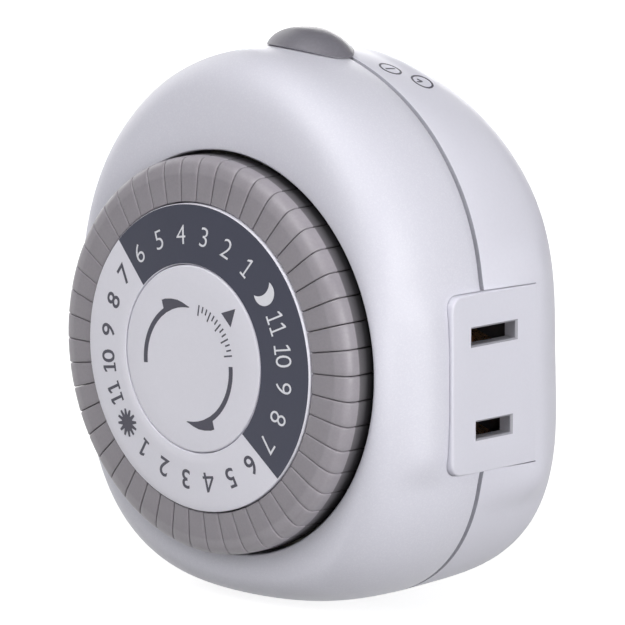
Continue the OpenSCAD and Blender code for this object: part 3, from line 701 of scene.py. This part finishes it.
# The dial: the turning number ring, a shallow cone that falls away outwards, and the fixed cap inside it.
dial = {
    "capR": 12.68, "gap": 0.12, "ringR": 20.85, "drop": 0.97, "ringLow": 36.9, "face": 39.8,
    "boundary": 136.2, "inkT": 0.025, "signT": 0.045, "rimWhite": 0.1, "bandInset": 0.12, "bandSunk": 0.02,
    "lift": 0.005, "ringSteps": 192, "bandSteps": 96, "capSteps": 144, "smooth": 40, "underR": 8,
    "topR": (9, 4), "innerEdge": ((0, -0.18), (0.05, -0.06)), "outerEdge": ((-0.04, -0.04), (0, -0.14)),
    "coneEnds": (0.17, 0.15), "coneR": (14.5, 17, 19.5), "postR": 1.98, "postH": (31.92, 38.19),
    "capLow": 38.2, "capEdge": ((0, -0.3), (0.04, -0.13), (0.14, -0.03), (0.3, 0)),
}
dialSlope = dial["drop"] / (dial["ringR"] - dial["capR"] - dial["gap"])
boreR = dial["capR"] + dial["gap"]


def coneH(r):
    return dial["face"] - dialSlope * (r - boreR)


def makeDialRing():
    s = dial
    outer = s["ringR"]
    rings = [fixed(boreR, s["ringLow"])]
    rings += [fixed(boreR + out, s["face"] + up) for out, up in s["innerEdge"]]
    cone = (boreR + s["coneEnds"][0],) + s["coneR"] + (outer - s["coneEnds"][1],)
    rings += [fixed(r, coneH(r)) for r in cone]
    rings += [fixed(outer + out, coneH(outer) + up) for out, up in s["outerEdge"]]
    rings.append(fixed(outer, s["ringLow"]))
    obj = finishNormals(loft("numberRing", rings, s["ringSteps"], loop=True), s["smooth"])
    placed(dress(obj, "ring"), "dial", "number_ring", "dial_ring")


def makeNightBand():
    # the dark half of the ring: a thin printed band, spun through half a turn from the boundary
    s = dial
    lowR = boreR + s["bandInset"]
    highR = s["ringR"] - s["rimWhite"]
    section = [(lowR, -s["bandSunk"]), (highR, -s["bandSunk"]), (highR, s["inkT"]), (lowR, s["inkT"])]
    obj = outlineShape("nightBand", [polar(r, radians(s["boundary"]), coneH(r) + up) for r, up in section])
    startEdit()
    spinBy(pi, s["bandSteps"])
    endEdit()
    placed(dress(finishNormals(obj, angle=30), "nightInk"), "dial", "number_ring")


# lets a shape drawn in XY face the front
upright = Matrix.Rotation(pi / 2, 4, "X")


def onRing(obj, clock, lift):
    # lays a flat shape on the ring's cone at a clock angle, with its top outwards
    r = numerals["r"]
    lean = Matrix.Rotation(-atan2(dialSlope, 1), 4, "X")
    spin = Matrix.Rotation(radians(clock), 4, "Y")
    move = Matrix.Translation(polar(r, radians(90 - clock), coneH(r) + lift))
    obj.matrix_world = move @ spin @ lean @ upright
    return settle(obj)


def textShape(char, size, thick, swell):
    # a digit centred on its own outline
    bpy.ops.object.text_add()
    drawing = bpy.context.object.data
    drawing.body = char
    drawing.size = size * mm
    drawing.extrude = thick * mm
    drawing.offset = swell * mm
    drawing.resolution_u = 4
    bpy.ops.object.convert(target="MESH")
    obj = named("digit")
    xs, ys = ([v.co[axis] for v in obj.data.vertices] for axis in (0, 1))
    middle = Vector(((min(xs) + max(xs)) / 2, (min(ys) + max(ys)) / 2, 0))
    for v in obj.data.vertices:
        v.co -= middle
    return obj


def onCircle(r, a):
    return r * cos(radians(a)), r * sin(radians(a))


def arc(r, a0, a1, steps):
    return [onCircle(r, a0 + (a1 - a0) * k / steps) for k in range(steps + 1)]


moon = {"r": 1.72, "spread": 113, "biteR": 1.96, "biteSpread": 53.7, "biteX": -1.81}
sun = {"rays": 12, "root": 1.12, "tip": 1.95, "rootSide": 13, "tipSide": 4.4}


def moonShape():
    # a crescent that opens to the left
    points = arc(moon["r"], -moon["spread"], moon["spread"], steps=48)
    bite = arc(moon["biteR"], moon["biteSpread"], -moon["biteSpread"], steps=32)
    points += [(x + moon["biteX"], y) for x, y in bite[1:-1]]
    return flatShape("moon", points, dial["signT"])


def sunShape():
    # one star-like outline: blunt rays on a disc
    root, tip = (sun["root"], sun["rootSide"]), (sun["tip"], sun["tipSide"])
    points = []
    for k in range(sun["rays"]):
        for r, side in ((root[0], -root[1]), (tip[0], -tip[1]), tip, root):
            points.append(onCircle(r, 360 / sun["rays"] * k + side))
    return flatShape("sun", points, dial["signT"])


numerals = {"size": 3.85, "r": 16.75, "nightSwell": -0.04, "daySwell": 0.035, "thick": 0.02, "over": 0.1,
            "advance": 1.6, "first": 7.5, "step": 15,
            "order": ("6", "5", "4", "3", "2", "1", None, "11", "10", "9", "8", "7")}
fourOutline = ((0.30, -1.38), (0.68, -1.38), (0.68, -0.87), (0.98, -0.87), (0.98, -0.51), (0.68, -0.51),
               (0.68, 1.38), (0.32, 1.38), (-1.02, -0.56), (-1.02, -0.87), (0.30, -0.87))
fourHole = ((0.30, -0.51), (0.30, 0.78), (-0.58, -0.51))


def oneOutline(swell):
    # a stem with a flag on the left and a foot
    foot = swell - 1.08
    right = 0.27 + swell
    left = -0.05 - swell
    return [(-0.52, -1.38), (0.68, -1.38), (0.68, foot), (right, foot), (right, 1.38), (left, 1.38),
            (-0.56, 1.02 + swell), (-0.56, 0.64 - swell), (left, 0.95 - swell), (left, foot), (-0.52, foot)]


def digitShape(char, swell):
    # swell makes the strokes fuller or finer; a fuller 4 has an outline here, because its hole would fill
    thick, over = numerals["thick"], numerals["over"]
    if char == "1":
        return flatShape("digit", oneOutline(swell), thick)
    if char == "4" and swell > 0:
        hole = flatShape("hole", fourHole, thick + 2 * over)
        hole.location.z = -over * mm
        return cutWith(flatShape("digit", fourOutline, thick), settle(hole))
    return textShape(char, numerals["size"], thick, swell)


def numberShape(word, swell):
    # the digits of one hour side by side, as one piece
    parts = []
    for k, char in enumerate(word):
        part = digitShape(char, swell)
        part.location.x = (k - (len(word) - 1) / 2) * numerals["advance"] * mm
        parts.append(settle(part))
    return joined("numeral", parts)


def makeNumerals(name, turn, swell, sign, finish, under):
    # one half of the ring's print: eleven hours, with the moon or the sun at its middle
    parts = []
    for k, word in enumerate(numerals["order"]):
        piece = numberShape(word, swell) if word else sign()
        clock = 90 - dial["boundary"] + numerals["first"] + turn + numerals["step"] * k
        parts.append(onRing(piece, clock, under + dial["lift"]))
    obj = joined(name, parts)
    bpy.ops.object.shade_flat()
    placed(dress(obj, finish), "dial", "number_ring")


def makeRingPrint():
    makeNumerals("nightNumerals", 0, numerals["nightSwell"], moonShape, "whiteInk", dial["inkT"])
    makeNumerals("dayNumerals", 180, numerals["daySwell"], sunShape, "darkInk", 0)


def makeCentreCap():
    s = dial
    rings = [fixed(s["postR"], h) for h in s["postH"]]
    rings += [fixed(r, s["capLow"]) for r in (s["underR"], s["capR"])]
    rings += [fixed(s["capR"] - inset, s["face"] + up) for inset, up in s["capEdge"]]
    rings += [fixed(r, s["face"]) for r in s["topR"]]
    obj = finishNormals(loft("centreCap", rings, s["capSteps"]), s["smooth"])
    placed(dress(obj, "cap"), "case", "cap", "centre_cap")


# The cap's print: two turning arrows, the pointer and a short scale of plain strokes under it.
capArt = {
    "centre": (-0.85, -0.85), "r": 8.1, "stroke": 0.72, "thick": 0.03, "tail": 185, "neck": (123, 130),
    "head": ((1.48, 121), (1.38, 117), (1.05, 110), (0.7, 103), (0.3, 97), (-0.1, 91), (-0.25, 87.5)),
    "underHead": (89, 93, 98, 104, 112, 122), "pointer": ((5.5, 6.92), (8.14, 7.8), (7.25, 5.22)),
    "scaleR": 7.6, "scaleStart": 80, "scaleStep": 5.8, "strokes": 13, "long": 1.5, "short": 0.9, "half": 0.11,
}


def arrowPoints(turn):
    # a bent stroke with a broad head, turned about the arrows' centre
    r, half = capArt["r"], capArt["stroke"] / 2
    points = arc(r + half, capArt["tail"], capArt["neck"][0], steps=24)
    points += [onCircle(r + out, a) for out, a in capArt["head"]]
    points += [onCircle(r - half, a) for a in capArt["underHead"]]
    points += arc(r - half, capArt["neck"][1], capArt["tail"], steps=20)
    cx, cy = capArt["centre"]
    return [(cx + turn * x, cy + turn * y) for x, y in points]


def strokePoints(k):
    # one stroke of the scale, every third one longer
    along = Vector(onCircle(1, capArt["scaleStart"] - capArt["scaleStep"] * k))
    across = Vector((-along.y, along.x)) * capArt["half"]
    high = along * capArt["scaleR"]
    low = high - along * capArt["long" if k % 3 == 0 else "short"]
    return [low - across, low + across, high + across, high - across]


def makeCapPrint():
    drawings = [arrowPoints(1), arrowPoints(-1), capArt["pointer"]]
    drawings += [strokePoints(k) for k in range(capArt["strokes"])]
    obj = joined("capPrint", [flatShape("print", points, capArt["thick"]) for points in drawings])
    obj.matrix_world = Matrix.Translation((0, -(dial["face"] - dial["lift"]) * mm, 0)) @ upright
    placed(dress(finishNormals(settle(obj), angle=20), "darkInk"), "case", "cap")


# The segments: one section of radius and height, turned through the segment's width.
segment = {
    "pitch": 7.5, "gap": 0.1, "edge": 0.19, "midR": 24.0, "legR": (22.8, 24.2), "legH": (28.0, 33),
    "legHalf": 0.7, "spinSteps": 4, "edgeSteps": 3, "sharp": 50, "smooth": 32,
    "section": ((21.05, 38.56), (24.9, 38.06), (25.8, 37.82), (26.4, 37.52), (26.75, 37.15), (26.93, 36.7),
                (26.98, 36.2), (27.0, 35.2), (27.0, 32.4), (21.05, 32.4)),
}
# Painted light on the segments: a painted highlight across the top, from the inner to the outer radius and
# lightest along the shoulder, and painted shadow down the outer wall.
segmentPaintedLight = {
    "r": (21, 27), "top": ((0.0, 0.78), (0.60, 0.78), (0.67, 0.90), (0.84, 0.91), (0.91, 1.0), (1.0, 0.95)),
    "h": (33.5, 35.9), "down": ((0.2, 0.05), (0.82, 0.36), (0.9, 1.0), (1.0, 1.0)),
}


def greyRamp(tree, value, span, stops):
    # a shade for each share of the way from one value to the other
    node = addNode(tree, "ValToRGB", {"Fac": stretched(tree, value, *span)})
    elements = node.color_ramp.elements
    for k, (at, tone) in enumerate(stops):
        stop = elements[k] if k < 2 else elements.new(at)
        stop.position = at
        stop.color = shade((tone,) * 3)
    return node.outputs["Color"]


def paintSegmentHighlightAndShadow():
    # painted highlight along the shoulder, and painted shadow, near black, where the outer wall goes down
    # into the case
    s = segmentPaintedLight
    tree = finishes["segment"].node_tree
    shader = tree.nodes["Principled BSDF"]
    tint = tintOf(shader)
    split = addNode(tree, "SeparateXYZ", {0: objectPlace(tree)}).outputs
    flat = addNode(tree, "CombineXYZ", {"X": split["X"], "Z": split["Z"]}).outputs[0]
    radius = addNode(tree, "VectorMath", {0: flat}, operation="LENGTH").outputs["Value"]
    top = greyRamp(tree, radius, [r * mm for r in s["r"]], s["top"])
    down = greyRamp(tree, split["Y"], [-h * mm for h in s["h"]], s["down"])
    both = calculate(tree, "MULTIPLY", top, down)
    feed(tree, shader, {"Base Color": mixed(tree, 1, tint, both, "MULTIPLY")})


def makeSegment(index):
    s = segment
    slack = degrees(s["gap"] / s["midR"])
    wide = radians(s["pitch"] - slack)
    start = radians(dial["boundary"] - (index + 1) * s["pitch"] + slack / 2)
    obj = outlineShape("segment", [polar(r, start, h) for r, h in s["section"]])
    startEdit()
    spinBy(wide, s["spinSteps"])
    faceOutwards()
    endEdit()
    bevelEdges(obj, s["edge"], s["edgeSteps"], s["sharp"])
    leg = brick("leg", s["legR"], s["legH"], around(0, s["legHalf"]))
    leg.matrix_world = Matrix.Rotation(-(start + wide / 2), 4, "Y")
    return joined("segment", [settle(leg), obj])


def makeSegments():
    paintSegmentHighlightAndShadow()
    for hour in range(24):
        pair = joined("hourSegments%02d" % hour, [makeSegment(2 * hour), makeSegment(2 * hour + 1)])
        bpy.ops.object.shade_smooth_by_angle(angle=radians(segment["smooth"]))
        node = "tripper_%02d" % hour
        placed(dress(pair, "segment"), node, "segments", node)


# The slide button: an oval dome over the parting groove. Its underside follows the round track of the case.
slide = {
    "x": 1.2, "h": 18.45, "half": (7.13, 6.7735), "wide": 4.91, "oval": 1.844, "rise": 2.2, "fall": 2.495,
    "skirt": 0.95, "leftBlunt": 0.45, "gap": 0.12, "edge": 0.12, "trackR": 27.0, "top": 40.43,
    "cells": (64, 48), "stemX": (-1.25, 3.1), "stemHalf": 1.3, "stemZ": (37.53, 41.03),
}


def buttonPoint(co):
    # rounds the square grid to a disc and then to the oval, which is a plain ellipse near the crown
    s = slide
    ex = co.x * sqrt(1 - co.y ** 2 / 2)
    ey = co.y * sqrt(1 - co.x ** 2 / 2)
    reach = min(1.0, sqrt(ex * ex + ey * ey))
    a = atan2(ey, ex)
    power = 2 / (2 - (2 - s["oval"]) * reach ** 4)
    x = s["x"] + reach * abs(cos(a)) ** power * (s["half"][0] if ex > 0 else -s["half"][1])
    y = s["wide"] * reach * abs(sin(a)) ** power * (1 if ey > 0 else -1)
    z = s["top"] - s["trackR"] + sqrt((s["trackR"] + s["gap"]) ** 2 - x ** 2)
    if co.z > -0.5:
        blunt = s["skirt"] - s["leftBlunt"] * max(0.0, -cos(a)) ** 2
        z += max(s["edge"], s["rise"] * (1 - reach ** s["fall"]) ** blunt)
    return Vector((x, y - s["h"], z)) * mm


def makeButton():
    s = slide
    bpy.ops.mesh.primitive_grid_add(x_subdivisions=s["cells"][0], y_subdivisions=s["cells"][1], size=2)
    obj = named("slideButton")
    startEdit()
    extrudeBy(0, 0, -1 / mm)
    endEdit()
    for v in obj.data.vertices:
        v.co = buttonPoint(v.co)
    stem = brick("stem", s["stemX"], around(case["partH"], s["stemHalf"]), s["stemZ"])
    obj = finishNormals(joined("slideButton", [stem, obj]), angle=40)
    placed(dress(obj, "button"), "slide", "button", "slide_button")


# The plug's blades, each with the strips that it carries inside the case.
blades = {
    "z": -9.0, "thick": 1.5, "length": 17.5, "holeAt": 11.9, "holeR": 1.6, "corner": 1.6, "tipEdge": 0.45,
    "edge": 0.08, "slotGap": 0.15, "slotDeep": 3, "slack": 0.01, "holeLong": 4, "holeSteps": 48,
    "neutral": {"x": -6.35, "width": 7.9, "foot": 5.4, "strips": (
        ((-7.1, -5.6), (2.4, 5.5), (-16.5, -9)), ((-7.1, 14.2), (4.9, 5.5), (-16.5, -13.5)),
        ((11.8, 14.2), (4.9, 5.5), (-16.5, 6.49)), ((13.6, 14.2), (4.9, 16), (2.49, 6.49)))},
    "live": {"x": 6.35, "width": 6.35, "foot": 12.9, "strips": (
        ((5.6, 10.5), (13.0, 13.55), (-12.175, -9)),)},
}


def bevelTip(axis, width, segments):
    # rounds the tip's edges that run along one axis
    def chosen(e):
        atTip = all(v.co.y > (blades["length"] - blades["slack"]) * mm for v in e.verts)
        return atTip and abs(e.verts[0].co[axis] - e.verts[1].co[axis]) > blades["slack"] * mm
    selectWhere("edges", chosen)
    bevelSelected(width, segments)


def makeBlade(kind):
    s = blades
    b = s[kind]
    blade = brick("blade", around(b["x"], s["thick"] / 2), (-s["length"], b["foot"]),
                  around(s["z"], b["width"] / 2))
    startEdit()
    bevelTip(0, s["corner"], segments=3)
    bevelTip(2, s["tipEdge"], segments=2)
    endEdit()
    cutWith(blade, rod("hole", s["holeR"], s["holeLong"], (b["x"], s["holeAt"], s["z"]), (0, pi / 2, 0),
                       s["holeSteps"]))
    bevelEdges(blade, s["edge"], segments=2, angle=40)
    strips = [brick("strip", *sides) for sides in b["strips"]]
    obj = finishNormals(joined("blade" + kind.capitalize(), strips + [blade]), angle=30)
    placed(dress(obj, "blade"), "case", "blade_metal", "blade_" + kind)


def makeBlades():
    makeBlade("neutral")
    makeBlade("live")


# The foil label: a plain printed frame with empty rules.
label = {"half": 15, "z": (3, 19), "deep": 0.3, "frameHalf": 14.2, "line": 0.22, "printH": (0.02, 0.12),
         "rules": (3.8, 7.4, 11.0, 14.6, 18.0)}


def makeLabelFrame():
    s = label
    half, line, rules = s["frameHalf"], s["line"], s["rules"]
    parts = [brick("rule", (-half, half), s["printH"], (z, z + line)) for z in rules]
    parts += [brick("side", (x, x + line), s["printH"], (rules[0], rules[-1] + line))
              for x in (-half, half - line)]
    placed(dress(joined("labelFrame", parts), "darkInk"), "case", "label")


# Two plain pictograms behind the button, printed on the rear shell at a clock angle and a height:
# a stroke in a ring and a clock in a ring.
marks = {"thick": 0.03, "sunk": 0.01, "line": 0.3, "ringR": 1.5, "on": (17.0, 13.5), "clock": (22.2, 10.6),
         "stroke": 0.9, "longHand": (0, 1.0), "shortHand": (0.72, 0.36), "halvings": 40, "ringSteps": 40,
         "probe": (0.02, 0.3), "cells": (10, 4)}


def sidePoint(a, height):
    # the rear shell's side at an angle and a height, found by halving the range of its section's angle
    low, high = radians(0.5), radians(89.5)
    for _ in range(marks["halvings"]):
        middle = (low + high) / 2
        if rearPoint(a, middle)[1] > height:
            low = middle
        else:
            high = middle
    r = rearPoint(a, low)[0]
    return Vector((r * cos(a), -height, r * sin(a)))


def onCase(obj, clock, h):
    # wraps a flat mark, drawn in XY, onto the rear shell's side
    a = radians(90 - clock)
    upper = {v.index for v in obj.data.vertices if v.co.z > marks["thick"] * mm / 2}
    centre = sidePoint(a, h)
    turnStep, heightStep = marks["probe"]
    back = sidePoint(a - turnStep, h) - sidePoint(a + turnStep, h)
    rise = sidePoint(a, h + heightStep) - sidePoint(a, h - heightStep)
    xAxis = back.normalized()
    yAxis = (rise - xAxis * rise.dot(xAxis)).normalized()
    zAxis = xAxis.cross(yAxis)
    if zAxis.dot(Vector((centre.x, 0, centre.z))) < 0:
        zAxis = -zAxis
        xAxis = yAxis.cross(zAxis)
    place = Matrix((xAxis, yAxis, zAxis)).transposed().to_4x4()
    place.translation = centre * mm
    for v in obj.data.vertices:
        flat = place @ v.co
        proud = marks["thick"] if v.index in upper else -marks["sunk"]
        v.co = (sidePoint(atan2(flat.z, flat.x), -flat.y / mm) + zAxis * proud) * mm


def ringShape(r, width):
    outer, inner = r + width / 2, r - width / 2
    bpy.ops.mesh.primitive_circle_add(vertices=marks["ringSteps"], radius=outer * mm, fill_type="NOTHING")
    obj = named("ring")
    startEdit()
    bpy.ops.mesh.extrude_edges_move()
    bpy.ops.transform.resize(value=(inner / outer,) * 3)
    endEdit()
    return obj


def strokeShape(start, end, width, cells):
    # a flat stroke between two points, in enough cells to bend round the case
    bpy.ops.mesh.primitive_grid_add(x_subdivisions=cells, y_subdivisions=1, size=1)
    obj = named("stroke")
    run = Vector(end) - Vector(start)
    obj.scale = (run.length * mm, width * mm, 1)
    obj.rotation_euler = (0, 0, atan2(run.y, run.x))
    obj.location = ((Vector(start) + Vector(end)) / 2 * mm).to_3d()
    return settle(obj)


def makeMark(name, strokes, place):
    # the drawing gets a second layer above it and is wrapped onto the case
    s = marks
    parts = [ringShape(s["ringR"], s["line"])]
    parts += [strokeShape(start, end, s["line"], cells) for start, end, cells in strokes]
    obj = joined(name, parts)
    startEdit()
    extrudeBy(0, 0, s["thick"])
    faceOutwards()
    endEdit()
    onCase(obj, *place)
    placed(dress(finishNormals(obj, angle=20), "darkInk"), "case", "case_rear")


def makeMarks():
    s = marks
    many, few = s["cells"]
    makeMark("onMark", [((0, -s["stroke"]), (0, s["stroke"]), many)], s["on"])
    makeMark("clockMark", [((0, 0), s["longHand"], few), ((0, 0), s["shortHand"], few)], s["clock"])


# The finishes of the nodes that stay as they are.
keptNodes = {
    "acetal": "slide_carriage dial_carrier mechanism_plate clutch_gear dial_pinion switch_lever "
              "gear_1 gear_2 gear_3 gear_4 gear_5",
    "steel": "slide_detent gear_arbors lever_pin lever_spring",
    "contact": "clutch_washer contact_leaf fixed_contact socket_contact_neutral socket_contact_live",
    "screw": "motor_screws housing_screws",
    "can": "motor_can",
    "coil": "motor_coil",
    "ferrite": "motor_rotor",
    "sleeve": "motor_leads",
    "foil": "rating_label",
}


def dressKeptNodes():
    for finish, names in keptNodes.items():
        for name in names.split():
            dress(nodes[name], finish)


# The stage: a pale table, and a white wall far round it that only the camera sees. The table throws back
# more light than the room gives from above. Lengths are in metres here.
white = (1, 1, 1, 1)
stage = {"floorZ": -0.03466, "floorSize": 9.0, "wallR": 4.4, "wallHigh": 9.0, "lightBelow": 0.274,
         "lightAbove": 0.065}
stageLooks = {
    "paleFloor": {"Base Color": shade((0.45,) * 3), "Roughness": 0.9, "Specular IOR Level": 0.1,
                  "Emission Color": white, "Emission Strength": 0.80},
    "whiteWall": {"Base Color": shade((0.4,) * 3), "Emission Color": white, "Emission Strength": 0.95},
}
# Each sun: the direction that it shines from, its strength, and how wide it is in degrees.
suns = {
    "sideSun": ((1.0, -0.2, 0.05), 3.35, 50),
    "topSun": ((0.0, -0.35, 1.0), 0.66, 50),
    "frontSun": ((0.0, -1.0, 0.9), 1.42, 50),
    "rimSun": ((-1.0, 0.25, 0.3), 0.96, 50),
    "backSun": ((-0.65, 1.0, 0.14), 1.0, 30),
}
# The camera's angles are in degrees, its place in mm, its focal length in pixels of the picture's width.
camera = {"azimuth": 44.34, "elevation": 10.091, "roll": -0.131, "distance": 911.75, "right": 16.073,
          "up": 6.192, "focal": 6815.3, "picture": 625, "sensor": 36, "clip": (0.05, 20)}


def stagePiece(name, look):
    piece = settle(named(name))
    mat, shader = newMaterial(look)
    feed(mat.node_tree, shader, stageLooks[look])
    piece.data.materials.append(mat)
    piece.visible_diffuse = False
    return piece


def makeBackground():
    s = stage
    bpy.ops.mesh.primitive_plane_add(size=s["floorSize"], location=(0, 0, s["floorZ"]))
    stagePiece("floor", "paleFloor")
    bpy.ops.mesh.primitive_cylinder_add(vertices=64, radius=s["wallR"], depth=s["wallHigh"],
                                        end_fill_type="NOTHING")
    wall = stagePiece("backdrop", "whiteWall")
    wall.visible_glossy = wall.visible_transmission = wall.visible_shadow = False


def makeWorld():
    world = bpy.data.worlds.new("studio")
    bpy.context.scene.world = world
    world.use_nodes = True
    tree = world.node_tree
    place = addNode(tree, "TexCoord", {}).outputs["Generated"]
    height = addNode(tree, "SeparateXYZ", {0: place}).outputs["Z"]
    strength = stretched(tree, height, -1, 1, stage["lightBelow"], stage["lightAbove"])
    feed(tree, tree.nodes["Background"], {"Color": white, "Strength": strength})


def addObject(name, data):
    obj = bpy.data.objects.new(name, data)
    bpy.context.scene.collection.objects.link(obj)
    return obj


def makeSuns():
    for name, (source, strength, width) in suns.items():
        data = bpy.data.lights.new(name, "SUN")
        data.energy = strength
        data.angle = radians(width)
        obj = addObject(name, data)
        obj.rotation_mode = "QUATERNION"
        obj.rotation_quaternion = Vector(source).to_track_quat("Z", "Y")


def makeCamera():
    # the camera looks at the middle of the dial's face, moved a little to the right and up
    s = camera
    az, el, roll = radians(s["azimuth"]), radians(s["elevation"]), radians(s["roll"])
    back = Vector((sin(az) * cos(el), -cos(az) * cos(el), sin(el)))
    right = Vector((cos(az), sin(az), 0))
    up = back.cross(right)
    place = back * s["distance"] + right * s["right"] + up * s["up"] - Vector((0, dial["face"], 0))
    axes = (right * cos(roll) + up * sin(roll), up * cos(roll) - right * sin(roll), back)
    data = bpy.data.cameras.new("camera")
    data.sensor_width = s["sensor"]
    data.lens = s["focal"] / s["picture"] * s["sensor"]
    data.clip_start, data.clip_end = s["clip"]
    obj = addObject("camera", data)
    turn = Matrix(axes).transposed().to_4x4()
    turn.translation = place * mm
    obj.matrix_world = turn
    bpy.context.scene.camera = obj
    bpy.context.scene.view_settings.view_transform = "Standard"


stages = {
    "case": (makeFrontShell, makeRearShell, makeScrewPosts),
    "outlet": (makeOutletPlate,),
    "dial": (makeDialRing, makeNightBand, makeRingPrint, makeCentreCap, makeCapPrint),
    "segments": (makeSegments,),
    "button": (makeButton,),
    "blades, label and marks": (makeBlades, makeLabelFrame, makeMarks),
    "inner finishes": (dressKeptNodes,),
    "stage": (makeBackground, makeWorld, makeSuns, makeCamera),
}
for title, makers in stages.items():
    for make in makers:
        make()
    print(title, "ready")
